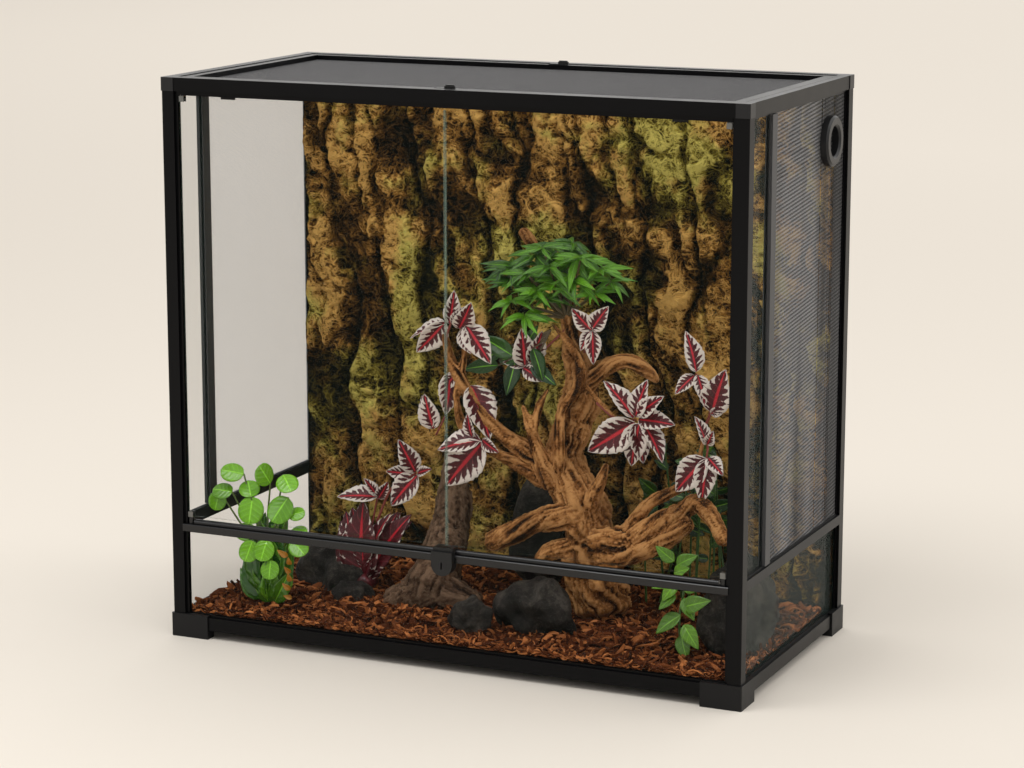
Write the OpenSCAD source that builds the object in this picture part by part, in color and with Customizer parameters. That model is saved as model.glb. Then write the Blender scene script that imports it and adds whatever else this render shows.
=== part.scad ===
// Reptile terrarium: black aluminium frame, glass doors, screened sides and lid, set up with
// a bark background, chip bed, driftwood, stones and artificial plants.
// The frame is drawn from its front left corner, and place() puts each corner where it belongs.

/* [Cabinet] */
// Width over the feet
body_w = 914; // [800:2:1100]
// Depth over the feet
body_d = 457; // [420:1:600]
// Height of the frame
body_h = 845; // [760:5:1000]

/* [Frame] */
// Side of the square posts
post = 20; // [18:0.5:24]
// Height of the top and bottom rails
rail_h = 20; // [16:0.5:26]
// Depth of the top rails
top_rail_d = 18; // [16:0.5:22]
// Depth of the bottom rails
low_rail_d = 16; // [15:0.5:20]
// Wall of the hollow sections
wall = 1.6; // [1.2:0.1:2.4]
// Reach of the glazing lips beyond a section
lip = 5; // [3.5:0.5:6]
// Thickness of a glazing lip
lip_t = 1.5; // [1:0.1:2]
// Play of a spigot in its hollow section
spigot_play = 0.2; // [0.1:0.05:0.4]
// How far the spigots reach into the sections
spigot_l = 20; // [12:1:30]

/* [Feet] */
// Length of a foot along the width
foot_l = 62; // [50:1:80]
// Length of a foot along the depth
foot_w = 54; // [46:1:70]
// Height of a foot
foot_h = 36; // [34:0.5:44]
// Height of the bottom rails above the floor
rail_z = 13.5; // [8:0.5:15]
// How far a foot stands proud of the posts
foot_proud = 2.5; // [1:0.5:4]
// How far a top cap stands proud of the posts
cap_proud = 1; // [0.5:0.25:2]

/* [Glass] */
// Set-back of the glazing from the frame's face
glass_set = 6; // [5.5:0.25:8]
// Thickness of the fixed glass
glass_t = 4; // [3:0.5:6]
// Thickness of the doors
door_t = 5; // [4:0.5:6]
// Thickness of the base panel
base_t = 5; // [4:0.5:8]
// Gap between the two doors
door_gap = 1.5; // [1:0.25:3]

/* [Sill and side rails] */
// Height of the sill's lower edge
sill_z = 164.5; // [140:0.5:200]
// Height of the sill's front plate
sill_plate_h = 11.5; // [10:0.5:14]
// Radius of the round bar on the sill
bead_r = 5; // [4:0.25:6]
// Height of the side rails' face
side_rail_h = 17.5; // [14:0.5:24]
// Depth from the front to the dividers
divider_y = 97; // [80:1:140]
// Width of a divider
divider_w = 20; // [14:1:28]

/* [Door pivots] */
// Diameter of the pivot pins
pin_d = 4; // [3:0.25:4.5]
// Play of a pin in its bore, on the radius
pin_play = 0.05; // [0.02:0.01:0.1]
// Length of the pins
pin_l = 8; // [7:0.5:12]
// Height of the shoe round the glass
shoe_h = 7; // [5:0.5:12]

/* [Lock] */
// Width of the lock case
lock_w = 33; // [29:0.5:40]
// Height of the bolt's travel
bolt_rise = 6; // [4:0.25:6.5]
// Diameter of the lock cylinder
cylinder_d = 12; // [11:0.5:12.5]

/* [Lid] */
// Width of the lid's frame
lid_rail_w = 15; // [12:0.5:20]
// Gap round the lid
lid_gap = 1.2; // [0.8:0.1:2]
// Depth of the screen below the lid's top
screen_drop = 8; // [5:0.5:9.5]
// Thickness of the screens
screen_t = 1; // [0.6:0.1:1.4]
// Openings across and along a screen, drawn coarser than the real weave
screen_gaps = [24, 12]; // [4:1:25]
// Width of a screen's strands
strand = 1.2; // [0.8:0.1:2]
// Length of a lid latch's knob
knob_l = 17; // [15:0.5:20]

/* [Cable port] */
// Diameter of the port
port_d = 74; // [66:1:84]
// How far the port stands out from the frame's face
port_proud = 6; // [4:0.5:8]
// Distance of the port's centre from the back
port_y = 97; // [70:1:130]
// Depth of the port's centre below the frame's top
port_drop = 88; // [70:1:300]

/* [Furnishing] */
// Thickness of the bark background at its edges
bark_t = 36; // [24:1:50]
// Height of the bark's ridges
bark_ridge = 26; // [12:1:34]
// Depth of the chip bed
bed_h = 18; // [12:1:30]

/* [Hidden] */
$fn = 64;
eps = 0.01; // overshoot of a cut, so that no skin is left

// Overall frame, inside the feet
fw = body_w - 2 * foot_proud;
fd = body_d - 2 * foot_proud;
rail_top_z = body_h - rail_h;
low_top_z = rail_z + rail_h;
corner_r = 2;
root = 3; // how far a spigot is rooted in its own piece

// Glazing grooves: outer lip, glass, inner lip, measured from the frame's face
seat = 0.1;
lip_out = glass_set - seat - lip_t;
lip_in = glass_set + glass_t + seat;
groove_mid = glass_set + glass_t / 2;
glass_foot_z = low_top_z + 0.3;

// Base and chip bed
ledge_t = 2;
ledge_w = 8;
ledge_z = rail_z + 3.5;
base_z = ledge_z + ledge_t;
bed_z = base_z + base_t;
bed_top_z = bed_z + bed_h;

// Sill: front plate, core and the round bar on top
plate_proud = 2;
plate_t = 5;
core_top_z = sill_z + sill_plate_h;
core_back = groove_mid + 4.6;
bead_v = groove_mid;
bead_z = core_top_z + 2;
bead_top_z = bead_z + bead_r;

// Doors turn on pins in the sill and the header
pivot_u = post + lip + 5.2;
door_edge_u = post + lip + 1.5; // clear of the posts' lips as the shoe turns
door_v = groove_mid - door_t / 2;
boss_d = 9;
boss_top_z = bead_top_z + 3;
shoe_plate = 1.5;
shoe_wall = 1.2;
shoe_l = 8;
header_h = pin_l - 2; // so that a pin ends inside the wall of the rail
header_z = rail_top_z - header_h;
header_front = 3.4;
header_back = 15;
door_foot_z = boss_top_z + shoe_plate;
door_head_z = header_z - 1 - shoe_plate;

// Lock
lock_r = lock_w / 2;
lock_face = -11; // of the lock's front, from the frame's face
lock_hood_face = -6;
lock_bottom_z = sill_z - 18.5;
lock_plate_top_z = core_top_z + 5.4;
hood_top_z = door_foot_z - 0.7;
hood_back = core_back + 0.9;
key_z = sill_z - 3.5;
pin_travel_r = bolt_rise / sqrt(2);
cam_pin_d = 3;
leg_front = -4.6;
leg_t = 2.3;
leg_half = 8;
tongue_half = 10;
tongue_t = 3.2;

// Lid
lid_x = fw / 2 - top_rail_d - lid_gap;
lid_y = fd / 2 - top_rail_d - lid_gap;
lid_ledge_t = 2.5;
lid_ledge_w = 6;
lid_z = rail_top_z + 3 + lid_ledge_t;
lid_top_z = body_h - 1;
lid_screen_z = lid_top_z - screen_drop;
latch_plate_t = 1.3;
knob_w = 9;
knob_h = 4.6;
knob_y = lid_y - 5.5;
knob_z = lid_top_z + latch_plate_t + 0.1;
knob_pin_d = 3;
knob_pin_l = 8;

// Side rails and dividers
side_rail_d = 13;
side_rail_top_z = sill_z + side_rail_h;
gasket_h = 2;
gasket_z = side_rail_top_z;
pane_z = side_rail_top_z + gasket_h;
pane_head_z = rail_top_z - 0.3;

// Cable port, on the right-hand screen
port_cy = fd / 2 - port_y;
port_z = body_h - port_drop;
port_bore = 60;
port_recess = 44;
shutter_t = 2.4;

// ---------------------------------------------------------------- placing
// Children are drawn from the front left corner; sx and sy pick the real corner.
module place(sx, sy)
    mirror([sx > 0 ? 1 : 0, 0, 0]) mirror([0, sy > 0 ? 1 : 0, 0])
        translate([-fw / 2, -fd / 2, 0]) children();

// A section drawn as [depth, height], run along the width
module along_x(x0, x1)
    translate([x0, 0, 0]) rotate([90, 0, 90]) linear_extrude(x1 - x0) children();

// A section drawn as [width, height], run along the depth
module along_y(y0, y1)
    translate([0, y1, 0]) rotate([90, 0, 0]) linear_extrude(y1 - y0) children();

module box(x0, x1, y0, y1, z0, z1)
    translate([x0, y0, z0]) cube([x1 - x0, y1 - y0, z1 - z0]);

module rect(a0, a1, b0, b1)
    translate([a0, b0]) square([a1 - a0, b1 - b0]);

// ---------------------------------------------------------------- frame
module tube_section(w, h, r = 0)
    difference() {
        union() {
            rect(r, w, 0, h);
            rect(0, w, r, h);
            if (r > 0) translate([r, r]) circle(r);
        }
        rect(wall, w - wall, wall, h - wall);
    }

module lips_up(z0, z1) {
    rect(lip_out, lip_out + lip_t, z0, z1);
    rect(lip_in, lip_in + lip_t, z0, z1);
}

module post()
    color("#1b1b1c") translate([0, 0, foot_h]) linear_extrude(rail_top_z - foot_h) {
        tube_section(post, post, corner_r);
        for (a = [lip_out, lip_in]) {
            rect(post, post + lip, a, a + lip_t);
            rect(a, a + lip_t, post, post + lip);
        }
    }

module foot() {
    p = foot_proud;
    heel = post + 2;
    color("#1e1e1f") difference() {
        union() {
            linear_extrude(foot_h) {
                rect(corner_r - p, foot_l - p, -p, low_rail_d);
                rect(-p, low_rail_d, corner_r - p, foot_w - p);
                rect(0, heel, 0, heel);
                translate([corner_r - p, corner_r - p]) circle(corner_r);
            }
            translate([0, 0, rail_z]) {
                along_x(foot_l - p - root, foot_l - p + spigot_l) spigot(low_rail_d);
                along_y(foot_w - p - root, foot_w - p + spigot_l) spigot(low_rail_d);
            }
            box(wall + spigot_play, post - wall - spigot_play,
                wall + spigot_play, post - wall - spigot_play, foot_h - root, foot_h + spigot_l);
        }
        box(post, foot_l, lip_out + lip_t, lip_in, low_top_z, foot_h + eps);
        box(lip_out + lip_t, lip_in, post, foot_w, low_top_z, foot_h + eps);
    }
}

module spigot(depth)
    rect(wall + spigot_play, depth - wall - spigot_play,
         wall + spigot_play, rail_h - wall - spigot_play);

module cap() {
    p = cap_proud;
    color("#2a2a2c") {
        translate([0, 0, rail_top_z]) linear_extrude(rail_h) {
            rect(corner_r - p, post, -p, top_rail_d);
            rect(-p, top_rail_d, corner_r - p, post);
            translate([corner_r - p, corner_r - p]) circle(corner_r);
        }
        translate([0, 0, rail_top_z]) {
            along_x(post - root, post + spigot_l) spigot(top_rail_d);
            along_y(post - root, post + spigot_l) spigot(top_rail_d);
        }
        box(wall + spigot_play, post - wall - spigot_play, wall + spigot_play,
            post - wall - spigot_play, rail_top_z - spigot_l, rail_top_z + root);
    }
}

module bottom_rail_section() {
    translate([0, rail_z]) tube_section(low_rail_d, rail_h);
    lips_up(low_top_z, low_top_z + 3.5);
    rect(low_rail_d, low_rail_d + ledge_w, ledge_z, ledge_z + ledge_t);
}

module bottom_rail_x()
    color("#1b1b1c") along_x(foot_l - foot_proud, fw - foot_l + foot_proud) bottom_rail_section();

module bottom_rail_y()
    color("#1b1b1c") along_y(foot_w - foot_proud, fd - foot_w + foot_proud) bottom_rail_section();

module top_rail_section() {
    groove = [top_rail_d - 5, 0.8];
    difference() {
        translate([0, rail_top_z]) tube_section(top_rail_d, rail_h);
        rect(groove.x, groove.x + groove.y, body_h - 0.6, body_h + eps);
    }
}

module lid_ledge()
    rect(top_rail_d, top_rail_d + ledge_w, lid_z - lid_ledge_t, lid_z);

module top_rail_front()
    color("#1b1b1c") difference() {
        union() {
            along_x(post, fw - post) {
                top_rail_section();
                lid_ledge();
            }
            along_x(post + lip, fw - post - lip)
                rect(header_front, header_back, header_z, rail_top_z);
        }
        for (u = [pivot_u, fw - pivot_u])
            translate([u, groove_mid, header_z - eps])
                cylinder(d = pin_d + 2 * pin_play, h = header_h + wall + 2);
    }

module top_rail_back()
    color("#1b1b1c") {
        along_x(post, fw - post) {
            top_rail_section();
            lid_ledge();
        }
        along_x(post + lip + 0.2, fw - post - lip - 0.2) lips_up(rail_top_z - 4, rail_top_z);
    }

module top_rail_side()
    color("#1b1b1c") {
        along_y(post, fd - post) top_rail_section();
        along_y(post + lip + 0.2, fd - post - lip - 0.2) lips_up(rail_top_z - 4, rail_top_z);
        along_y(top_rail_d + ledge_w + 0.2, fd - top_rail_d - ledge_w - 0.2) lid_ledge();
    }

// Front sill: plate proud of the posts, round bar that the doors close over, pivot bosses
module front_sill()
    color("#1f1f21") difference() {
        union() {
            along_x(post, fw - post)
                polygon([[-plate_proud, sill_z + 0.8], [-plate_proud + 0.8, sill_z],
                         [plate_t - plate_proud, sill_z], [plate_t - plate_proud, core_top_z],
                         [-plate_proud + 1, core_top_z], [-plate_proud, core_top_z - 1]]);
            along_x(post + lip, fw - post - lip) {
                rect(plate_t - plate_proud, core_back, sill_z + 2.5, core_top_z);
                lips_up(sill_z, sill_z + 2.5);
            }
            along_x(pivot_u + boss_d / 2 + 2, fw - pivot_u - boss_d / 2 - 2) {
                translate([bead_v, bead_z]) circle(bead_r);
                rect(bead_v - 3, bead_v + 3, core_top_z, bead_z);
            }
            for (u = [pivot_u, fw - pivot_u])
                translate([u, groove_mid, core_top_z - 2])
                    cylinder(d = boss_d, h = boss_top_z - core_top_z + 2);
        }
        for (u = [pivot_u, fw - pivot_u])
            translate([u, groove_mid, boss_top_z - pin_l - 0.5])
                cylinder(d = pin_d + 2 * pin_play, h = pin_l + 0.5 + eps);
    }

// Its ends are coped over the glazing lips of the posts
module side_rail()
    color("#2b2b2d") difference() {
        along_y(post, fd - post) {
            difference() {
                rect(0, side_rail_d, sill_z + 3, side_rail_top_z);
                rect(wall, side_rail_d - wall, sill_z + 3 + wall, side_rail_top_z - wall);
            }
            lips_up(sill_z, sill_z + 3);
        }
        for (y = [post, fd - post - lip - 0.2])
            box(lip_out - 0.2, side_rail_d + eps, y - eps, y + lip + 0.2 + eps,
                sill_z - eps, side_rail_top_z + eps);
    }

// Divider: an upright flush with the rails that parts the glass strip from the screen
module divider() {
    y0 = divider_y;
    y1 = divider_y + divider_w;
    color("#343437") translate([0, 0, pane_z])
        linear_extrude(rail_top_z - pane_z - 4) difference() {
            rect(1, lip_in + lip_t, y0, y1);
            rect(glass_set - seat, lip_in, y0 - eps, y0 + lip);
            rect(glass_set - seat, lip_in, y1 - lip, y1 + eps);
            rect(2.6, lip_in - 1, y0 + lip + 1.6, y1 - lip - 1.6);
        }
}

// ---------------------------------------------------------------- panels
module base_panel() {
    edge = low_rail_d + 0.5;
    notch = post + 2.5 - edge;
    color("#3a3a3a") translate([-fw / 2, -fd / 2, base_z]) linear_extrude(base_t)
        difference() {
            rect(edge, fw - edge, edge, fd - edge);
            for (u = [edge - eps, fw - edge - notch], v = [edge - eps, fd - edge - notch])
                rect(u, u + notch + eps, v, v + notch + eps);
        }
}

module front_glass()
    color("#cfe3df", 0.3) box(-fw / 2 + post + 0.2, fw / 2 - post - 0.2,
        -fd / 2 + glass_set, -fd / 2 + glass_set + glass_t, glass_foot_z, sill_z + 2.2);

module back_panel()
    color("#26272a") box(-fw / 2 + post + 0.2, fw / 2 - post - 0.2,
        fd / 2 - glass_set - glass_t, fd / 2 - glass_set, glass_foot_z, pane_head_z);

module side_glass()
    color("#cfe3df", 0.3) box(glass_set, glass_set + glass_t,
        post + 0.2, fd - post - 0.2, glass_foot_z, sill_z + 2.7);

module strip_glass()
    color("#cfe3df", 0.3) box(glass_set, glass_set + glass_t,
        post + 0.2, divider_y + lip - 0.2, pane_z, pane_head_z);

// A screen of square openings between its borders, drawn flat from its corner
module net(w, h, nx, ny, border) {
    px = (w - 2 * border) / nx;
    py = (h - 2 * border) / ny;
    difference() {
        square([w, h]);
        for (i = [0 : nx - 1], j = [0 : ny - 1])
            translate([border + i * px + strand / 2, border + j * py + strand / 2])
                square([px - strand, py - strand]);
    }
}

screen_y0 = divider_y + divider_w - lip + 0.2;
screen_y1 = fd - post - 0.2;

module side_screen(port = false)
    color("#5b5d60") translate([glass_set + screen_t, 0, 0]) rotate([0, -90, 0])
        linear_extrude(screen_t) difference() {
            union() {
                translate([pane_z, screen_y0])
                    net(pane_head_z - pane_z, screen_y1 - screen_y0,
                        screen_gaps.x, screen_gaps.y, lip + 1);
                if (port) translate([port_z, fd - port_y]) circle(d = port_d - 4);
            }
            if (port) translate([port_z, fd - port_y]) circle(d = port_bore + 0.6);
        }

// Black rubber strips: under the panes and behind the screens
module gaskets()
    color("#111112") {
        along_y(post + lip + 0.2, fd - post - lip - 0.2)
            rect(lip_out, lip_in + lip_t, gasket_z, gasket_z + gasket_h);
        for (y = [post + 0.2, fd - post - lip - 0.2])
            box(glass_set, lip_in - 0.2, y, y + lip, gasket_z, gasket_z + gasket_h);
        spline = [glass_set + screen_t, lip_in];
        for (y = [screen_y0, screen_y1 - 4])
            box(spline.x, spline.y, y, y + 4, pane_z, rail_top_z - 4);
    }

// ---------------------------------------------------------------- doors
module door_glass() {
    u1 = fw / 2 - door_gap / 2;
    color("#d7ebe6", 0.3)
        box(door_edge_u, u1, door_v, door_v + door_t, door_foot_z, door_head_z);
}

// A metal shoe grips each outer corner of the glass and carries the pivot pin
module pivot_shoe(up) {
    z0 = up ? door_head_z : door_foot_z;
    color("#c9c9c4") translate([0, 0, z0]) mirror([0, 0, up ? 0 : 1]) difference() {
        union() {
            box(door_edge_u, door_edge_u + shoe_l, door_v - shoe_wall,
                door_v + door_t + shoe_wall, -shoe_h, shoe_plate);
            translate([pivot_u, groove_mid, 0]) cylinder(d = pin_d, h = shoe_plate + pin_l);
        }
        box(door_edge_u - eps, door_edge_u + shoe_l + eps, door_v, door_v + door_t,
            -shoe_h - eps, 0);
    }
}

module door_pivots() {
    pivot_shoe(true);
    pivot_shoe(false);
}

module door_stops()
    color("#0f0f10") for (sx = [-1, 1]) place(sx, -1)
        box(post + 73, post + 95, door_v + door_t + 0.3, header_back,
            header_z - 4, header_z);

// ---------------------------------------------------------------- lock
// A saddle over the sill: plate in front, body below, hood across the round bar.
module lock_outline(r, z_top)
    intersection() {
        union() {
            translate([0, lock_bottom_z + lock_r]) circle(r);
            rect(-r, r, lock_bottom_z + lock_r, z_top);
        }
        rect(-r, r, lock_bottom_z, z_top);
    }

module lock_case()
    color("#202022") translate([0, -fd / 2, 0]) difference() {
        union() {
            along_y(lock_face, -plate_proud) lock_outline(lock_r, lock_plate_top_z);
            along_y(-plate_proud, glass_set - 0.3) lock_outline(lock_r, sill_z);
            box(1 - lock_r, lock_r - 1, lock_hood_face, hood_back, core_top_z, hood_top_z);
        }
        along_x(-lock_r, lock_r) {
            translate([bead_v, bead_z]) circle(bead_r + 0.15);
            rect(bead_v - bead_r - 0.15, bead_v + bead_r + 0.15, core_top_z - eps, bead_z);
        }
        box(-leg_half - 0.2, leg_half + 0.2, leg_front - 0.2, -plate_proud + eps,
            key_z - 9, hood_top_z + eps);
        box(-tongue_half - 0.2, tongue_half + 0.2, leg_front - 0.2, door_v - 0.4,
            hood_top_z - tongue_t - 0.2, hood_top_z + eps);
        translate([0, lock_face - eps, key_z]) rotate([-90, 0, 0])
            cylinder(d = cylinder_d + 2 * pin_play, h = leg_front - lock_face);
    }

module lock_cylinder()
    color("#8e9093") translate([0, -fd / 2, key_z]) difference() {
        union() {
            translate([0, lock_face, 0]) rotate([-90, 0, 0])
                cylinder(d = cylinder_d, h = leg_front - lock_face - 0.4);
            rotate([0, 45, 0]) translate([pin_travel_r, lock_face + 4, 0]) rotate([-90, 0, 0])
                cylinder(d = cam_pin_d, h = -plate_proud - 0.3 - lock_face - 4);
        }
        box(-1.2, 1.2, lock_face - eps, lock_face + 3.5, -4, 4);
        for (z = [-4, 4])
            translate([0, lock_face - eps, z]) rotate([-90, 0, 0]) cylinder(d = 2.8, h = 2);
    }

module lock_bolt() {
    slot = [pin_travel_r * cos(45) - cam_pin_d / 2 - 0.5,
            pin_travel_r + cam_pin_d / 2 + 0.4];
    slot_z = key_z - pin_travel_r * sin(45);
    color("#9a9c9f") translate([0, -fd / 2, 0]) difference() {
        union() {
            box(-leg_half, leg_half, leg_front, leg_front + leg_t,
                slot_z - cam_pin_d / 2 - 2.4, hood_top_z);
            box(-tongue_half, tongue_half, leg_front, door_v - 0.6,
                hood_top_z - tongue_t, hood_top_z);
        }
        box(slot.x, slot.y, leg_front - eps, leg_front + leg_t + eps,
            slot_z - cam_pin_d / 2 - 0.3, slot_z + cam_pin_d / 2 + 0.3);
    }
}

// ---------------------------------------------------------------- lid
// A closed ring of the lid's frame, from inset a to inset b inside the lid's outline
module lid_ring(a, b, z0, z1)
    translate([0, 0, z0]) linear_extrude(z1 - z0) difference() {
        square([2 * (lid_x - a), 2 * (lid_y - a)], center = true);
        square([2 * (lid_x - b), 2 * (lid_y - b)], center = true);
    }

// A hollow frame with a ledge inside for the screen
module lid_frame()
    color("#222224") difference() {
        union() {
            lid_ring(0, lid_rail_w, lid_z, lid_top_z);
            lid_ring(lid_rail_w - wall / 2, lid_rail_w + lid_ledge_w,
                     lid_screen_z - lid_ledge_t, lid_screen_z);
        }
        lid_ring(wall, lid_rail_w - wall, lid_z + wall, lid_top_z - wall);
        for (s = [-1, 1]) translate([0, s * knob_y, lid_top_z - knob_pin_l - 1])
            cylinder(d = knob_pin_d + 2 * pin_play, h = knob_pin_l + 2);
    }

module lid_screen() {
    in = lid_rail_w + 0.3;
    w = 2 * (lid_x - in);
    d = 2 * (lid_y - in);
    color("#6a6c6f") translate([-w / 2, -d / 2, lid_screen_z]) linear_extrude(screen_t)
        net(w, d, screen_gaps.x, screen_gaps.y, 6);
}

module latch_plate()
    translate([-22, knob_y - 6, lid_top_z]) difference() {
        cube([28, 11, latch_plate_t]);
        translate([22, 6, -eps])
            cylinder(d = knob_pin_d + 2 * pin_play, h = latch_plate_t + 2 * eps);
    }

module latch_plates()
    color("#161617") {
        latch_plate();
        mirror([0, 1, 0]) latch_plate();
    }

module stadium(l, w)
    union() {
        square([l - w, w], center = true);
        for (s = [-1, 1]) translate([s * (l - w) / 2, 0]) circle(d = w);
    }

// A turn button: lies along the rail when free, and across the rail's edge when turned
module latch_knob()
    color("#161617") {
        translate([0, 0, knob_z]) linear_extrude(knob_h - 1.6) stadium(knob_l, knob_w);
        translate([0, 0, knob_z + knob_h - 1.6]) linear_extrude(1.6) stadium(knob_l - 3, 4);
        translate([0, 0, knob_z - knob_pin_l]) cylinder(d = knob_pin_d, h = knob_pin_l);
    }

// ---------------------------------------------------------------- cable port
module at_port(x) // axis outward, x measured inward from the frame's right face
    translate([fw / 2 - x, port_cy, port_z]) rotate([0, 90, 0]) children();

module half_disc(d)
    intersection() {
        circle(d = d);
        rotate(35) rect(-d, d, 1.5, d);
    }

module port_ring() {
    out = glass_set + port_proud;
    color("#19191b") at_port(glass_set) {
        rotate_extrude() polygon([
            [port_recess / 2, 0], [port_d / 2, 0], [port_d / 2, out - 3],
            [port_d / 2 - 3, out], [port_recess / 2 + 3, out], [port_recess / 2, out - 3]]);
        translate([0, 0, -screen_t - 3]) difference() {
            cylinder(d = port_bore, h = 3 + screen_t + eps);
            translate([0, 0, -eps]) cylinder(d = port_recess, h = 3 + screen_t + 4 * eps);
        }
    }
}

module port_backing()
    color("#232325") at_port(glass_set + screen_t + 3) translate([0, 0, -4]) difference() {
        cylinder(d = port_d - 4, h = 4);
        translate([0, 0, -eps]) linear_extrude(4 + 2 * eps) rotate(180) half_disc(30);
    }

module port_shutter()
    color("#2b2b2d") at_port(glass_set + screen_t + 3) translate([0, 0, 0.3]) {
        difference() {
            cylinder(d = port_recess - 0.8, h = shutter_t);
            translate([0, 0, -eps]) linear_extrude(shutter_t + 2 * eps) half_disc(30);
        }
        rotate(35) translate([0, -9, shutter_t]) linear_extrude(2) stadium(16, 3);
    }

// ---------------------------------------------------------------- furnishing
// The furnishing's points were set out in a cabin of this width, depth and height over the bed,
// with the bed's top at set_out_bed; inside() moves a point to where it comes in this cabin.
set_out = [909, 452, 803];
set_out_bed = 42;
function inside(p) = [p.x * fw / set_out.x, p.y * fd / set_out.y,
    bed_top_z + (p.z - set_out_bed) * (body_h - bed_top_z) / set_out.z];

// The same for what keeps its height over the bed
function on_floor(p) = [inside(p).x, inside(p).y, bed_top_z + p.z - set_out_bed];

// A smooth pseudo-random value from 0 to 1 for two whole numbers
function noise(i, j) = let (s = sin(i * 127.1 + j * 311.7) * 43758.5453) s - floor(s);

// Bark relief: upright plates parted by clefts that lean and wander up the sheet.
// clefts: where they cross mid-height, as shares of the sheet's width.
clefts = [0.09, 0.183, 0.267, 0.376, 0.457, 0.591, 0.676, 0.777, 0.867, 0.939];
cleft_lean = 0.1; // sideways per millimetre of height, less towards the right edge
bark_rows = 18;
plate_steps = [0, 0.14, 0.5, 0.86]; // across a plate, from its cleft

function cleft(i, z, w) = i == 0 ? 0 : i > len(clefts) ? w : w * clefts[i - 1]
    - cleft_lean * (z - body_h / 2) * min(1, 4.3 * (1 - clefts[i - 1]))
    + 7 * sin(0.9 * z + 77 * i) + 4 * sin(2.3 * z + 131 * i);

// Height of plate i at share t of its width, from 0 in the cleft to 1
function plate(i, t, z) =
    pow(min(1, 1.5 * sin(180 * t)), 0.55) * (0.8 + 0.2 * sin(2.1 * z + 97 * i) * cos(1.1 * z - 53 * i));

module bark_background() {
    steps = len(plate_steps);
    nx = steps * (len(clefts) + 1);
    nz = bark_rows;
    w = fw - 2 * (post + lip + 0.5);
    z0 = bed_z;
    z1 = header_z - 4;
    step_z = low_top_z + 4;
    step_y = fd / 2 - low_rail_d - 0.3;
    y_back = fd / 2 - glass_set - glass_t - seat;
    face = y_back - bark_t;
    deep = 0.45 * bark_ridge;
    function zj(j) = j == 0 ? z0 : bed_top_z + 3 + (j - 1) * (z1 - bed_top_z - 3) / (nz - 1);
    function flat(i, j) = j < 2 || j == nz || i == 0 || i == nx;
    function px(i, z) = let (k = floor(i / steps), t = plate_steps[i % steps])
        t == 0 ? cleft(k, z, w) : (1 - t) * cleft(k, z, w) + t * cleft(k + 1, z, w);
    function py(i, j) = flat(i, j) ? face : face + deep
        - 1.08 * bark_ridge * plate(floor(i / steps), plate_steps[i % steps], zj(j));
    front = [for (j = [0 : nz], i = [0 : nx]) [px(i, zj(j)) - w / 2, py(i, j), zj(j)]];
    back = [for (x = [-w / 2, w / 2]) each
        [[x, step_y, z0], [x, step_y, step_z], [x, y_back, step_z], [x, y_back, z1]]];
    n = (nx + 1) * (nz + 1);
    function at(i, j) = j * (nx + 1) + i;
    color("#6b6038") polyhedron(points = concat(front, back), faces = concat(
        [for (j = [0 : nz - 1], i = [0 : nx - 1], k = [0, 1]) k == 0
            ? [at(i, j), at(i, j + 1), at(i + 1, j + 1)]
            : [at(i, j), at(i + 1, j + 1), at(i + 1, j)]],
        [concat([n], [for (i = [0 : nx]) at(i, 0)], [n + 4])],
        [concat([n + 7], [for (i = [nx : -1 : 0]) at(i, nz)], [n + 3])],
        [concat([n + 1, n + 2, n + 3], [for (j = [nz : -1 : 0]) at(0, j)], [n])],
        [concat([n + 5, n + 4], [for (j = [0 : nz]) at(nx, j)], [n + 7, n + 6])],
        [for (k = [0 : 2]) [n + k, n + k + 4, n + k + 5, n + k + 1]]));
}

// Loose chips on the bed, in patches clear of what stands there:
// [x0, x1, y0, y1, chips, degrees that they may turn either way]
chip_patches = [[-380, 380, -203, -190, 16, 25], [-235, -70, -170, -112, 8, 90],
                [180, 300, -170, -124, 5, 90], [-390, -150, 78, 128, 6, 90],
                [230, 390, 112, 138, 3, 90]];
chip = [26, 7, 2.4];

module loose_chips()
    for (k = [0 : len(chip_patches) - 1]) let (c = chip_patches[k]) for (i = [1 : c[4]])
        translate(inside([c[0] + (c[1] - c[0]) * (i - noise(i, k)) / c[4],
                          c[2] + (c[3] - c[2]) * noise(i, k + 20), set_out_bed]))
            rotate([0, 14 * noise(i, k + 40) - 7, c[5] * (2 * noise(i, k + 60) - 1)])
                cube(chip, center = true);

// Lies between the bottom rails, and spreads over the feet up to the glass
module chip_bed() {
    y1 = fd - glass_set - glass_t - seat - bark_t - 0.3;
    notch = post + 2.5;
    spread_z = foot_h + 0.3;
    color("#7a3a20") {
        translate([-fw / 2, -fd / 2, 0]) for (part = [0, 1]) if (part == 0 || bed_top_z > spread_z) {
            edge = part == 0 ? low_rail_d + 0.3 : lip_in + lip_t + 0.3;
            z0 = part == 0 ? bed_z : spread_z;
            z1 = part == 0 ? min(bed_top_z, spread_z + 0.2) : bed_top_z;
            translate([0, 0, z0]) linear_extrude(z1 - z0) difference() {
                rect(edge, fw - edge, edge, y1);
                for (u = [0, fw - notch]) rect(u, u + notch, 0, notch);
            }
        }
        loose_chips();
    }
}

// A limb through points [x, y, z, radius], each stretch the hull of two balls
module limb(points, grow, faces)
    for (i = [0 : len(points) - 2]) hull() for (p = [points[i], points[i + 1]])
        translate(inside(p)) sphere(p[3] + grow, $fn = faces);

// Everything that stands on the bed is cut level with it
module on_bed()
    difference() {
        children();
        box(-fw, fw, -fd, fd, bed_top_z - 200, bed_top_z);
    }

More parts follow.
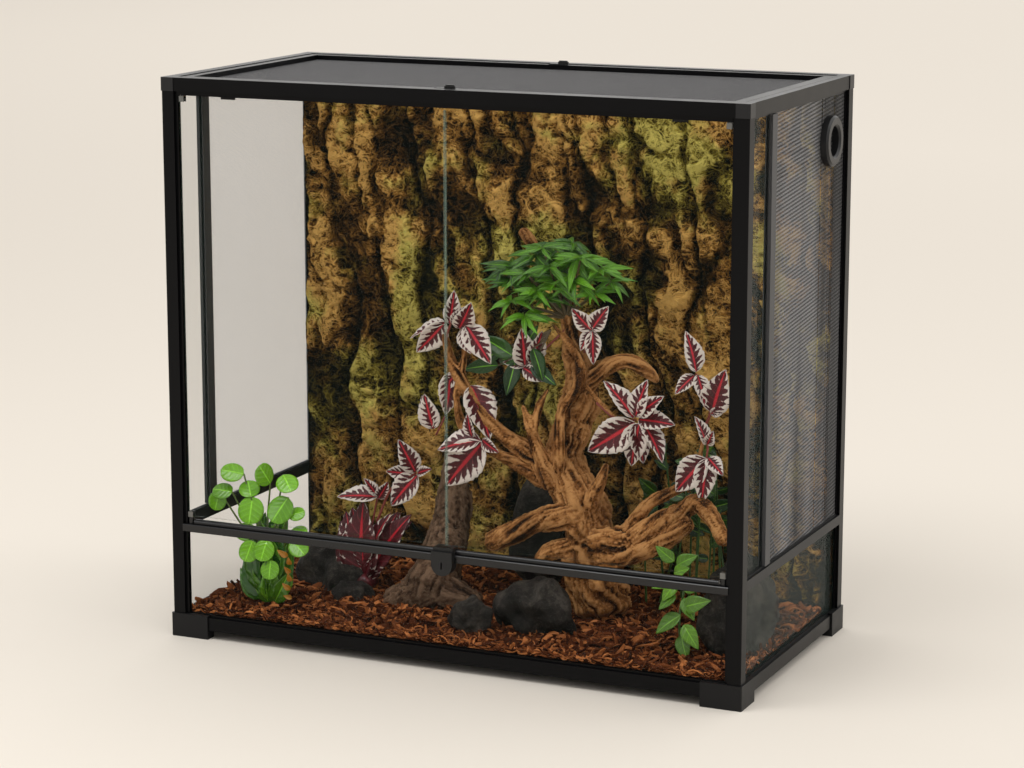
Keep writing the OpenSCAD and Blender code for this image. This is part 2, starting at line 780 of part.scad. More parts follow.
wood = [
    [[152, -4, 60, 36], [140, -8, 128, 34], [124, -5, 206, 30], [86, 5, 270, 25],
     [100, 15, 326, 23], [110, 22, 384, 20], [98, 25, 438, 15], [84, 30, 488, 11],
     [68, 38, 530, 9], [36, 50, 564, 8], [-4, 62, 606, 8]],
    [[90, -5, 244, 20], [58, -15, 276, 15], [4, -22, 308, 11], [-38, -26, 346, 9],
     [-68, -26, 392, 8], [-86, -26, 424, 6], [-94, -26, 458, 4]],
    [[64, -12, 246, 13], [16, -24, 272, 9], [-28, -30, 294, 7], [-58, -32, 314, 6],
     [-72, -32, 358, 5], [-70, -26, 392, 5]],
    [[-70, -26, 392, 5], [-62, -24, 428, 4], [-66, -22, 458, 3]],
    [[80, -20, 242, 14], [58, -28, 298, 10], [44, -30, 338, 6], [36, -30, 360, 3]],
    [[52, -28, 324, 6], [62, -26, 364, 5], [74, -24, 386, 3]],
    [[92, -18, 266, 10], [92, -24, 316, 8], [98, -24, 358, 8], [120, -18, 396, 9],
     [120, -10, 426, 8], [104, -8, 452, 6], [76, -8, 480, 3]],
    [[118, 12, 390, 13], [152, 6, 420, 13], [188, 4, 434, 11], [218, 4, 422, 9],
     [236, 4, 408, 5]],
    [[118, -25, 200, 18], [64, -35, 190, 16], [24, -40, 166, 14], [-10, -44, 150, 13]],
    [[126, -25, 152, 14], [88, -38, 146, 12], [68, -42, 130, 9]],
    [[158, -30, 160, 26], [186, -38, 164, 22], [238, -45, 190, 17], [296, -50, 228, 13],
     [322, -52, 246, 12], [348, -62, 228, 11], [372, -74, 198, 9]],
    [[170, -36, 140, 18], [256, -56, 172, 12], [312, -60, 216, 10]],
    [[202, -35, 178, 12], [238, -34, 230, 8], [270, -32, 250, 7], [298, -30, 270, 6],
     [316, -28, 308, 4], [320, -26, 348, 3]],
    [[142, -25, 220, 12], [162, -32, 256, 8], [172, -34, 284, 5]],
    [[124, -8, 396, 4], [156, -18, 372, 3], [188, -28, 350, 2.5]]
];

module driftwood_form(grow = 0)
    for (b = wood) limb(b, grow, b[0][3] > 12 ? 9 : 6);

module driftwood()
    color("#a9744a") on_bed() driftwood_form();

log_roots = [
    [[-112, -40, 66, 40], [-108, -20, 100, 34], [-102, 10, 156, 26], [-104, 30, 228, 20],
     [-110, 38, 274, 13]],
    [[-112, -44, 58, 36], [-168, -62, 40, 22]],
    [[-100, -40, 60, 34], [-40, -44, 44, 24]]
];

module log_form(grow = 0)
    for (b = log_roots) limb(b, grow, 10);

module root_log()
    color("#5b4030") on_bed() difference() {
        log_form();
        driftwood_form(0.3);
    }

// Stones: [x, y, z, size along x, y, z, turn]
stone_list = [
    [4, -150, 58, 66, 44, 62, 10],
    [92, -104, 70, 130, 66, 90, -8],
    [10, 92, 130, 84, 60, 190, 15],
    [388, -50, 84, 92, 170, 170, 4],
    [-300, -6, 56, 130, 74, 92, -14],
    [-232, -66, 48, 60, 44, 44, 20]
];

module stone_form(s, k, grow = 0)
    translate(on_floor(s)) rotate([0, 0, s[6]]) hull()
        for (i = [0 : 13]) let (a = noise(i, k) * 360, b = asin(2 * noise(i, k + 7) - 1))
            translate([cos(a) * cos(b) * (s[3] / 2 - 6), sin(a) * cos(b) * (s[4] / 2 - 6),
                       sin(b) * (s[5] / 2 - 6)]) sphere(6 + grow, $fn = 6);

module stones_form(grow = 0)
    for (k = [0 : len(stone_list) - 1]) stone_form(stone_list[k], k, grow);

module stones()
    color("#4f4c49") on_bed() difference() {
        stones_form();
        log_form(0.3);
        driftwood_form(0.3);
    }

// A leaf on its base point: a pointed oval along +X, folded along its midrib
module leaf(l, w, t = 1.4)
    for (s = [0, 1]) mirror([0, s, 0]) rotate([12, 0, 0]) linear_extrude(t)
        polygon([[0, -0.3], [l, -0.3], [l * 0.66, w * 0.36], [l * 0.32, w * 0.5], [0, t]]);

module blade(l, w, t = 1.2)
    linear_extrude(t) polygon([[2, -1.5], [l * 0.4, -w / 2], [l, 0], [l * 0.4, w / 2], [2, 1.5]]);

module round_leaf(d, t = 1.6)
    translate([d * 0.44, 0, 0]) cylinder(d = d, h = t, $fn = 8);

module stem(a, b, r = 1.5)
    hull() {
        translate(inside(a)) sphere(r, $fn = 5);
        translate(inside(b)) sphere(r, $fn = 5);
    }

// [x, y, z, diameter, heading, tilt]
pennies = [
    [-392, -150, 240, 32, 200, 10], [-335, -150, 238, 34, 60, -50], [-298, -150, 232, 32, 0, -40],
    [-404, -160, 214, 30, 190, -20], [-363, -150, 218, 30, 120, -50], [-353, -165, 190, 38, 270, -60],
    [-301, -160, 196, 38, 290, -60], [-283, -150, 190, 26, 10, -40], [-316, -170, 108, 26, 280, -50],
    [-290, -150, 150, 26, 330, -30], [-376, -140, 130, 34, 180, -60], [-322, -172, 140, 34, 260, -65],
    [-352, -172, 120, 36, 240, -65], [-334, -126, 150, 36, 90, -50]
];

pennies_foot = [-336, -146, set_out_bed];
pennies_crown = pennies_foot + [0, 0, 56];

module round_leaf_plant()
    color("#4f9a2a") on_bed() {
        translate(inside(pennies_foot) - [0, 0, 1]) cylinder(r1 = 26, r2 = 17, h = 66, $fn = 10);
        for (p = pennies) {
            stem(pennies_crown, p, 1.8);
            translate(inside(p)) rotate([0, p[5], p[4]]) round_leaf(p[3]);
        }
    }

// Patterned red leaves: a clump by the log, sprays wired to the driftwood.
// Each spray: foot, tip, then leaves as [x, y, z, length, heading, tilt].
clump = [-244, -10, 30];
clump_spray = [-184, -6, 222];
red_sprays = [
    [[-86, -28, 424], [-92, -30, 470], [[-92, -30, 466, 62, 200, 20], [-90, -30, 468, 60, 90, -50],
     [-88, -30, 466, 66, 330, -20], [-88, -30, 462, 60, 240, 60]]],
    [[-58, -34, 318], [-66, -40, 372], [[-66, -40, 372, 54, 250, 40], [-66, -40, 370, 56, 300, 30],
     [-64, -40, 366, 50, 340, 50]]],
    [[-40, -34, 296], [-44, -42, 286], [[-44, -42, 286, 58, 190, 0], [-44, -42, 286, 60, 220, 40],
     [-44, -42, 288, 56, 60, -20]]],
    [[126, 9, 412], [132, -4, 456], [[132, -4, 456, 54, 60, -50], [132, -4, 456, 56, 320, 30]]],
    [[84, 16, 470], [34, 0, 440], [[34, 0, 440, 56, 80, -50], [34, 0, 440, 52, 190, 10],
     [34, 0, 440, 52, 320, 40]]],
    [[190, -28, 350], [214, -44, 354], [[214, -44, 354, 74, 120, -50], [214, -44, 354, 76, 60, -30],
     [214, -44, 354, 66, 210, 30], [214, -44, 354, 64, 320, 30], [214, -44, 354, 70, 10, -20]]],
    [[320, -26, 346], [306, -36, 400], [[306, -36, 400, 66, 100, -60], [306, -36, 400, 56, 200, 20],
     [306, -36, 396, 56, 330, 30]]],
    [[316, -28, 308], [338, -44, 316], [[338, -44, 316, 60, 80, -60], [338, -44, 316, 56, 210, 40],
     [338, -44, 316, 56, 300, 55]]]
];

module red_leaf_plants()
    color("#7d1f2b") difference() {
        on_bed() {
            for (s = red_sprays) {
                stem(s[0], s[1], 2);
                for (f = s[2]) translate(inside(f)) rotate([0, f[5], f[4]])
                    leaf(f[3], f[3] * 0.55);
            }
            translate(inside(clump)) cylinder(r1 = 22, r2 = 8, h = 40, $fn = 10);
            for (i = [0 : 9]) translate(inside(clump) + [0, 0, 34])
                rotate([0, -52 - 14 * noise(i, 3), i * 36]) leaf(96, 40);
            stem(clump + [0, 0, 36], clump_spray, 2);
            for (h = [20, 150, 270]) translate(inside(clump_spray))
                rotate([0, -30 + h / 6, h]) leaf(60, 32);
        }
        driftwood_form(0.3);
        log_form(0.3);
        stones_form(0.3);
    }

// Whorls of narrow leaves round points on the upper trunk: [x, y, z, leaves, length]
bush_root = [84, 30, 488];
whorls = [[80, 16, 556, 9, 72], [110, 10, 570, 9, 66], [34, 40, 574, 8, 74], [74, 12, 520, 9, 64],
          [128, 14, 530, 8, 58], [26, 10, 494, 7, 60], [50, 10, 470, 7, 50], [6, 14, 452, 6, 48]];

module leaf_bush()
    color("#2f7a2c") difference() {
        union() {
            for (w = whorls) {
                stem([w.x, w.y, w.z - 3], bush_root, 3.5);
                for (i = [0 : w[3] - 1]) translate(inside(w))
                    rotate([0, -28 + 50 * noise(i, w[3]), i * 360 / w[3]]) blade(w[4], 16);
            }
        }
        driftwood_form(0.3);
        bush_clear_of_sprays();
    }

// Room for the red leaves among the green
module bush_clear_of_sprays()
    for (k = [3, 4]) let (s = red_sprays[k]) {
        stem(s[0], s[1], 2.6);
        for (f = s[2]) translate(inside(f)) rotate([0, f[5], f[4]])
            translate([0, 0, -0.5]) leaf(f[3] + 1, f[3] * 0.55 + 1, 2.4);
    }

vine_leaves = [[312, -128, 180, 200], [340, -126, 168, 30], [312, -130, 150, 170],
               [340, -134, 130, 350], [322, -136, 112, 220], [348, -134, 104, 310],
               [330, -136, 84, 250]];

vine_foot = [330, -132, set_out_bed];
vine_tip = [328, -130, 190];

module ground_vine()
    color("#3c8a2b") difference() {
        on_bed() {
            stem(vine_foot, vine_tip, 2);
            for (v = vine_leaves) {
                stem([vine_tip.x + 1, vine_tip.y - 1, v.z - 6], v, 1.5);
                translate(inside(v)) rotate([0, 30, v[3]]) leaf(34, 26);
            }
        }
        driftwood_form(0.3);
        stones_form(0.3);
    }

place(-1, -1) foot();  // foot_front_left
place(1, -1) foot();  // foot_front_right
place(-1, 1) foot();  // foot_back_left
place(1, 1) foot();  // foot_back_right
place(-1, -1) post();  // post_front_left
place(1, -1) post();  // post_front_right
place(-1, 1) post();  // post_back_left
place(1, 1) post();  // post_back_right
place(-1, -1) bottom_rail_x();  // bottom_rail_front
place(-1, 1) bottom_rail_x();  // bottom_rail_back
place(-1, -1) bottom_rail_y();  // bottom_rail_left
place(1, -1) bottom_rail_y();  // bottom_rail_right
place(-1, -1) top_rail_front();
place(-1, 1) top_rail_back();
place(-1, -1) top_rail_side();  // top_rail_left
place(1, -1) top_rail_side();  // top_rail_right
place(-1, -1) cap();  // cap_front_left
place(1, -1) cap();  // cap_front_right
place(-1, 1) cap();  // cap_back_left
place(1, 1) cap();  // cap_back_right
place(-1, -1) front_sill();
place(-1, -1) side_rail();  // side_rail_left
place(1, -1) side_rail();  // side_rail_right
place(-1, -1) divider();  // divider_left
place(1, -1) divider();  // divider_right
base_panel();
front_glass();
place(-1, -1) side_glass();  // side_glass_left
place(1, -1) side_glass();  // side_glass_right
place(-1, -1) strip_glass();  // strip_glass_left
place(1, -1) strip_glass();  // strip_glass_right
back_panel();
place(-1, -1) side_screen();  // side_screen_left
place(1, -1) side_screen(port = true);  // side_screen_right
union() {  // side_gaskets
    place(-1, -1) gaskets();
    place(1, -1) gaskets();
}
bark_background();
place(-1, -1) door_glass();  // door_glass_left
place(1, -1) door_glass();  // door_glass_right
place(-1, -1) door_pivots();  // door_pivots_left
place(1, -1) door_pivots();  // door_pivots_right
door_stops();
lock_case();
lock_cylinder();
lock_bolt();
lid_frame();
lid_screen();
latch_plates();
translate([0, -knob_y, 0]) latch_knob();  // latch_knob_front
translate([0, knob_y, 0]) latch_knob();  // latch_knob_back
port_ring();
port_backing();
port_shutter();
chip_bed();
driftwood();
root_log();
stones();
round_leaf_plant();
red_leaf_plants();
leaf_bush();
ground_vine();
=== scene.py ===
from math import cos, pi, radians, sin

import bpy
import numpy as np
from mathutils import Matrix, Vector


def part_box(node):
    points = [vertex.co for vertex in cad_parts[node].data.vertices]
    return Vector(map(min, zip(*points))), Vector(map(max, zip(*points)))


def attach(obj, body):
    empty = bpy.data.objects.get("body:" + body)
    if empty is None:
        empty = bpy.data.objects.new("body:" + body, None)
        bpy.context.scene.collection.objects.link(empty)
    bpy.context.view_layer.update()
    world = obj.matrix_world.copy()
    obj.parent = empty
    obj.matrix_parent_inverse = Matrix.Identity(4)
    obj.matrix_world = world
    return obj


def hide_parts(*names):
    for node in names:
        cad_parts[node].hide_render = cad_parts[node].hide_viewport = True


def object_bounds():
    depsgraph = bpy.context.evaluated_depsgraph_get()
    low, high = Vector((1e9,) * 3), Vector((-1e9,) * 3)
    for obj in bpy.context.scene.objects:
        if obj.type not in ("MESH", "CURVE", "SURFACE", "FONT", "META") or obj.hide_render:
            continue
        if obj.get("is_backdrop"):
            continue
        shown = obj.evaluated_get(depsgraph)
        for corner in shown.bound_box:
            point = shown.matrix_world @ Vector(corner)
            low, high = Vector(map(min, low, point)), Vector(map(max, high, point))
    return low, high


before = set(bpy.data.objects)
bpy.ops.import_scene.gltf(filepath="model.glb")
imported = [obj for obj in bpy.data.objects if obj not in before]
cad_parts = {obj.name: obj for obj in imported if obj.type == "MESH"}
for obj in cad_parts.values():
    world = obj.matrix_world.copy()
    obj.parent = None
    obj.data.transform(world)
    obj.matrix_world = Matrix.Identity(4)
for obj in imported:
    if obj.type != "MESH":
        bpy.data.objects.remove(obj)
cad_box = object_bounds()
bpy.context.scene.view_settings.view_transform = "Standard"

CREAM = (0.845, 0.785, 0.705)  # paper of the floor and the backdrop
PICTURE_WIDTH = 1024  # pixels
WOOD_FOOT, STONE_FOOT = 0.0405, 0.041  # heights where what stands in the bed is cut level


# ---- small helpers
def activate(obj):
    bpy.ops.object.select_all(action="DESELECT")
    obj.select_set(True)
    bpy.context.view_layer.objects.active = obj


def smooth(obj):
    activate(obj)
    bpy.ops.object.shade_smooth()


def settle(obj):
    activate(obj)
    bpy.ops.object.transform_apply(location=True, rotation=True, scale=True)


def modify(obj, kind, **settings):
    """Add a modifier and apply it."""
    mod = obj.modifiers.new(kind.lower(), kind)
    for key, value in settings.items():
        setattr(mod, key, value)
    activate(obj)
    bpy.ops.object.modifier_apply(modifier=mod.name)


def join(objs, name):
    activate(objs[0])
    for obj in objs:
        obj.select_set(True)
    if len(objs) > 1:
        bpy.ops.object.join()
    obj = bpy.context.object
    obj.name = name
    settle(obj)
    return obj


def add_object(name, data):
    obj = bpy.data.objects.new(name, data)
    bpy.context.collection.objects.link(obj)
    return obj


def mesh_object(name, verts, faces):
    mesh = bpy.data.meshes.new(name)
    mesh.from_pydata(verts, [], faces)
    return add_object(name, mesh)


def points_of(obj, kind="co"):
    values = np.empty(len(obj.data.vertices) * 3)
    obj.data.vertices.foreach_get(kind, values)
    return values.reshape(-1, 3)


def set_points(obj, co):
    obj.data.vertices.foreach_set("co", np.asarray(co, dtype=float).ravel())
    obj.data.update()


def primitive(kind, **settings):
    getattr(bpy.ops.mesh, f"primitive_{kind}_add")(**settings)
    return bpy.context.object


def grid(name, nx, ny):
    """A flat grid, one metre square, and its points."""
    obj = primitive("grid", x_subdivisions=nx, y_subdivisions=ny, size=1)
    obj.name = name
    return obj, points_of(obj)


def close_sheet(sheet, axis, step, level):
    """Make a solid of a sheet: its border is drawn out along an axis, capped and brought to one level."""
    rows = len(sheet.data.vertices)
    shift = [0, 0, 0]
    shift[axis] = step
    activate(sheet)
    bpy.ops.object.mode_set(mode="EDIT")
    bpy.ops.mesh.select_all(action="SELECT")
    bpy.ops.mesh.region_to_loop()
    bpy.ops.mesh.extrude_edges_move(TRANSFORM_OT_translate={"value": shift})
    bpy.ops.mesh.edge_face_add()
    bpy.ops.mesh.select_all(action="SELECT")
    bpy.ops.mesh.normals_make_consistent(inside=False)
    bpy.ops.object.mode_set(mode="OBJECT")
    co = points_of(sheet)
    co[rows:, axis] = level
    set_points(sheet, co)
    return len(co) - rows


def corners(node):
    return [Vector(v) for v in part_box(node)]


def scaled(colour, share):
    return tuple(c * share for c in colour)


def paint(obj, material):
    obj.data.materials.clear()
    obj.data.materials.append(material)


def finish_piece(obj, material, replaces=None, body="cabinet"):
    paint(obj, material)
    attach(obj, body)
    if replaces:
        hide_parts(replaces)


# ---- materials
def feed(tree, socket, value):
    """Link another node's output to a socket, or set its number, vector or colour."""
    if isinstance(value, bpy.types.NodeSocket):
        tree.links.new(value, socket)
    elif isinstance(value, tuple) and len(value) < len(socket.default_value):
        socket.default_value = (*value, 1.0)
    else:
        socket.default_value = value


def add_node(tree, kind, inputs=(), **settings):
    """A shader node with its settings, and its inputs fed by name or number."""
    node = tree.nodes.new("ShaderNode" + kind)
    for key, value in settings.items():
        setattr(node, key, value)
    for key, value in dict(inputs).items():
        feed(tree, node.inputs[key], value)
    return node


class Finish:
    """A Principled material with its pattern built step by step on Object coordinates."""

    def __init__(self, name, rough=0.5, metal=0.0, spec=0.5):
        self.mat = bpy.data.materials.new(name)
        self.mat.use_nodes = True
        self.tree = self.mat.node_tree
        self.bsdf = self.tree.nodes["Principled BSDF"]
        self.where = self.node("TexCoord").outputs["Object"]
        for socket, value in (("Metallic", metal), ("Roughness", rough), ("Specular IOR Level", spec)):
            self.set(socket, value)

    def node(self, kind, inputs=(), **settings):
        return add_node(self.tree, kind, inputs, **settings)

    def set(self, socket, value):
        feed(self.tree, self.bsdf.inputs[socket], value)

    def colour(self, value):
        self.set("Base Color", value)

    def axes(self, source=None):
        return self.node("SeparateXYZ", {0: source or self.where}).outputs

    def stretch(self, scale):
        return self.node("Mapping", {"Scale": scale, "Vector": self.where}).outputs[0]

    def attribute(self, name):
        return self.node("Attribute", attribute_name=name).outputs["Fac"]

    def noise(self, scale, detail=3.0, rough=0.55, source=None, distortion=0.0):
        inputs = {"Scale": scale, "Detail": detail, "Roughness": rough, "Distortion": distortion}
        return self.node("TexNoise", {**inputs, "Vector": source or self.where}).outputs["Fac"]

    def math(self, op, *values, clamp=False):
        return self.node("Math", enumerate(values), operation=op, use_clamp=clamp).outputs[0]

    def less(self, value, middle=0.5):
        return self.math("SUBTRACT", value, middle)

    def times(self, a, b):
        return self.math("MULTIPLY", a, b)

    def total(self, *terms):
        """The sum of values, each times its weight."""
        parts = [self.times(value, weight) for value, weight in terms]
        result = parts[0]
        for part in parts[1:]:
            result = self.math("ADD", result, part)
        return result

    def ramp(self, fac, stops):
        node = self.node("ValToRGB", {"Fac": fac})
        ramp = node.color_ramp
        ramp.elements[0].position, ramp.elements[1].position = stops[0][0], stops[-1][0]
        for pos, _ in stops[1:-1]:
            ramp.elements.new(pos)
        for element, (_, colour) in zip(ramp.elements, stops):
            element.color = (*colour, 1.0)
        return node.outputs["Color"]

    def fade(self, fac, start, end, rising=True):
        """Black up to start and white from end on, or the other way round."""
        first, last = (0, 1) if rising else (1, 0)
        return self.ramp(fac, [(start, (first,) * 3), (end, (last,) * 3)])

    def mix(self, fac, a, b, blend="MIX"):
        return self.node("Mix", {0: fac, 6: a, 7: b}, data_type="RGBA", blend_type=blend).outputs[2]

    def roughness(self, fac, low, high):
        self.set("Roughness", self.node("MapRange", {"Value": fac, "To Min": low, "To Max": high}).outputs[0])

    def bump(self, height, distance, strength=1.0):
        node = self.node("Bump", {"Height": height, "Distance": distance, "Strength": strength})
        normal = self.bsdf.inputs["Normal"]
        if normal.is_linked:
            feed(self.tree, node.inputs["Normal"], normal.links[0].from_socket)
        self.set("Normal", node.outputs[0])


def satin_paint(name, colour, rough, spec=0.5):
    """Powder coat: a fine orange peel, with faint handling marks in its gloss."""
    f = Finish(name, rough=rough, spec=spec)
    smear = f.noise(9)
    f.colour(f.mix(smear, scaled(colour, 0.8), colour))
    f.roughness(smear, rough - 0.07, rough + 0.1)
    f.bump(f.noise(900, 2), 0.00006, 0.5)
    return f.mat


def moulded_plastic(name, colour, rough, spec=0.3):
    f = Finish(name, rough=rough, spec=spec)
    f.colour(f.mix(f.noise(14, 2), scaled(colour, 0.82), colour))
    f.roughness(f.noise(60, 4), rough - 0.08, rough + 0.08)
    f.bump(f.noise(1500, 2), 0.00005, 0.7)
    return f.mat


def brushed_metal(name, colour, rough):
    f = Finish(name, rough=rough, metal=1)
    lines = f.noise(220, 2, source=f.stretch((1, 1, 30)))
    f.colour(f.mix(lines, scaled(colour, 0.75), colour))
    f.roughness(lines, rough - 0.08, rough + 0.1)
    f.bump(lines, 0.00004, 0.6)
    return f.mat


def clear_glass(name, tint=(0.06, 0.09, 0.08), veil=0.004, seam=None):
    """Thin clear glass: seen through, with a sheen that grows at grazing angles and faint smears.
    With seam = (x, half width), the ground edges of the two panes there are green and more solid."""
    f = Finish(name, rough=0.02)
    f.set("IOR", 1.5)
    body = f.mix(f.noise(5), scaled(tint, 0.9), tint)
    fresnel = f.node("Fresnel", {"IOR": 1.45}).outputs[0]
    alpha = f.math("ADD", f.total((fresnel, 0.22), (f.noise(7, 4), 0.008)), veil, clamp=True)
    if seam:
        middle, half = seam
        edge = f.math("LESS_THAN", f.math("ABSOLUTE", f.less(f.axes()[0], middle)), half)
        body = f.mix(edge, body, (0.22, 0.31, 0.26))
        alpha = f.math("MAXIMUM", alpha, f.times(edge, 0.5))
    f.colour(body)
    f.set("Alpha", alpha)
    return f.mat


def rubber(name):
    f = Finish(name, rough=0.7, spec=0.3)
    f.colour(f.mix(f.noise(40), (0.006, 0.006, 0.006), (0.016, 0.016, 0.016)))
    f.bump(f.noise(700, 2), 0.00008)
    return f.mat


def wire_paint(name, colour, painted_sheen=False):
    """Grey wire. For a fine weave seen at a slant, nearly level bright and dark bands are painted on as its
    sheen, and soft lighter and darker bands are painted on as the light and shade of folds.
    """
    f = Finish(name, rough=0.45, spec=0.3)
    grey = f.mix(f.noise(30, 2), scaled(colour, 0.85), colour)
    if painted_sheen:
        band_pitch, band_slope = 0.0056, 0.09
        _, y, z = f.axes()
        # painted sheen: nearly level bright and dark bands across the weave
        phase = f.times(f.less(z, f.times(y, band_slope)), 2 * pi / band_pitch)
        painted_sheen_band = f.math("MULTIPLY_ADD", f.math("SINE", phase), 0.5, 0.5)
        # painted light and shade: soft lighter and darker bands, as on folds
        painted_fold_light = f.ramp(f.noise(7, 2, 0.5, f.stretch((1, 1.6, 0.12))),
                       [(0.38, (0.2, 0.2, 0.2)), (0.62, (1, 1, 1))])
        grey = f.mix(1.0, f.mix(painted_sheen_band, grey, scaled(colour, 0.15)), painted_fold_light, "MULTIPLY")
    f.colour(grey)
    f.bump(f.noise(1200, 1), 0.00004, 0.5)
    return f.mat


# ---- camera, floor and light
def add_camera():
    """The photograph's camera, as fitted to corners of the frame."""
    lens_px, yaw, pitch = 2897.7, 0.4237, 0.2021
    cam = bpy.data.cameras.new("camera")
    cam.sensor_width = 36.0
    cam.lens = lens_px / PICTURE_WIDTH * cam.sensor_width
    cam.clip_end = 100.0
    obj = add_object("camera", cam)
    obj.location = (1.7497, -3.8688, 1.2541)
    obj.rotation_euler = (pi / 2 - pitch, 0, yaw)
    bpy.context.scene.camera = obj


def add_floor():
    """Cream paper that glows a little far behind the object, where the lamps don't reach."""
    floor = primitive("plane", size=60, location=(0, 12, 0))
    floor.name = "studio_floor"
    f = Finish("studio_paper", rough=0.9, spec=0.1)
    f.colour(scaled(CREAM, 0.83))
    f.set("Emission Color", CREAM)
    reach = f.node("VectorMath", {0: f.where}, operation="LENGTH").outputs["Value"]
    glow = {"Value": reach, "From Min": 12, "From Max": 6, "To Min": 0, "To Max": 0.16}
    f.set("Emission Strength", f.node("MapRange", glow).outputs["Result"])
    floor.data.materials.append(f.mat)
    floor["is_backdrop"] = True


def soft_box(name, place, aim, size, watts):
    light = bpy.data.lights.new(name, "AREA")
    light.shape = "RECTANGLE"
    light.size, light.size_y = size
    light.energy = watts
    obj = add_object(name, light)
    obj.location = place
    obj.rotation_euler = (Vector(aim) - Vector(place)).to_track_quat("-Z", "Y").to_euler()


def add_world():
    """A pale room, darker on the camera's side; the camera itself sees the backdrop's cream."""
    world = bpy.data.worlds.new("studio")
    bpy.context.scene.world = world
    world.use_nodes = True
    tree = world.node_tree
    tree.nodes.clear()
    way = add_node(tree, "TexCoord").outputs["Generated"]
    facing = add_node(tree, "VectorMath", {0: way, 1: (0.45, 0.75, 0.35)}, operation="DOT_PRODUCT")
    side = facing.outputs["Value"]
    level = {"Value": side, "From Min": -0.75, "From Max": 0.55, "To Min": 0.45, "To Max": 1.3}
    strength = add_node(tree, "MapRange", level).outputs["Result"]
    room = add_node(tree, "Background", {"Color": (0.93, 0.91, 0.88), "Strength": strength})
    paper = add_node(tree, "Background", {"Color": CREAM})
    seen = add_node(tree, "LightPath").outputs["Is Camera Ray"]
    mix = add_node(tree, "MixShader", {0: seen, 1: room.outputs[0], 2: paper.outputs[0]})
    add_node(tree, "OutputWorld", {0: mix.outputs[0]})


def add_lights():
    soft_box("key_overhead", (-0.4, -1.6, 3.4), (0, 0, 0.4), (2.2, 1.6), 52)
    soft_box("fill_left", (-3, -3, 2.2), (0, 0, 0.4), (1.8, 1.8), 20)
    soft_box("rim_right", (3.6, 1.6, 2.4), (0.2, 0, 0.5), (2, 2.4), 22)


# ---- frame, glass and fittings
def door_seam():
    """Where the two doors' edges meet, and how far from there the edges reach."""
    left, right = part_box("door_glass_left")[1][0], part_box("door_glass_right")[0][0]
    return (left + right) / 2, (right - left) / 2 + 0.0006


def finish_cad():
    """Give every CAD node that stays its finish."""
    black = satin_paint("frame_powder_coat", (0.0025, 0.0025, 0.003), 0.3, 0.13)
    finishes = {
        ("post_", "bottom_rail_", "top_rail_", "lid_frame"): black,
        ("front_sill",): satin_paint("sill_paint", (0.004, 0.004, 0.0045), 0.24, 0.45),
        ("side_rail_",): satin_paint("side_rail_paint", (0.012, 0.012, 0.013), 0.4, 0.2),
        ("divider_",): satin_paint("divider_paint", (0.055, 0.055, 0.057), 0.42, 0.25),
        ("foot_",): moulded_plastic("foot_plastic", (0.009, 0.009, 0.0095), 0.42, 0.2),
        ("cap_",): moulded_plastic("cap_plastic", (0.012, 0.012, 0.013), 0.36),
        ("front_glass", "side_glass", "strip_glass"): clear_glass("fixed_glass"),
        ("door_glass",): clear_glass("door_pane", (0.08, 0.13, 0.11), 0.006, door_seam()),
        ("base_panel", "back_panel"): satin_paint("dark_panel", (0.02, 0.02, 0.021), 0.5),
        ("side_gaskets", "door_stops"): rubber("black_rubber"),
        ("door_pivots",): brushed_metal("pivot_steel", (0.22, 0.22, 0.21), 0.42),
        ("lock_case", "latch_"): moulded_plastic("lock_plastic", (0.012, 0.012, 0.012), 0.38),
        ("lock_cylinder", "lock_bolt"): brushed_metal("lock_steel", (0.045, 0.045, 0.047), 0.42),
        ("port_",): moulded_plastic("port_plastic", (0.012, 0.012, 0.013), 0.33),
    }
    for prefixes, mat in finishes.items():
        for name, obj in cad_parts.items():
            if name.startswith(prefixes):
                paint(obj, mat)


# ---- woven screens
WEAVE_PITCH = 0.002
LEFT_WIRE, LID_WIRE, RIGHT_WIRE = 0.00024, 0.00026, 0.00034
PORT_Y, PORT_Z, PORT_RADIUS = 0.129, 0.757, 0.0302  # the hole in the right-hand screen


def woven_panel(name, width, height, wire):
    """A fine square weave in the YZ plane, centred on the origin."""
    rows = []
    for axis, span, size in ((1, width, (wire, wire, height)), (2, height, (wire, width, wire))):
        count = int(span / WEAVE_PITCH)
        row = primitive("cube", size=1)
        row.scale = size
        settle(row)
        step = [0, 0, 0]
        step[axis] = WEAVE_PITCH
        modify(row, "ARRAY", use_relative_offset=False, use_constant_offset=True,
               constant_offset_displace=step, count=count + 1)
        row.location[axis] = -count * WEAVE_PITCH / 2
        rows.append(row)
    rows[1].location.x = wire / 2
    return join(rows, name)


def cut_port(panel, mid):
    place = (0, PORT_Y - mid.y, PORT_Z - mid.z)
    hole = primitive("cylinder", radius=PORT_RADIUS, depth=0.05, vertices=64,
                     rotation=(0, pi / 2, 0), location=place)
    modify(panel, "BOOLEAN", object=hole, solver="EXACT")
    bpy.data.objects.remove(hole)


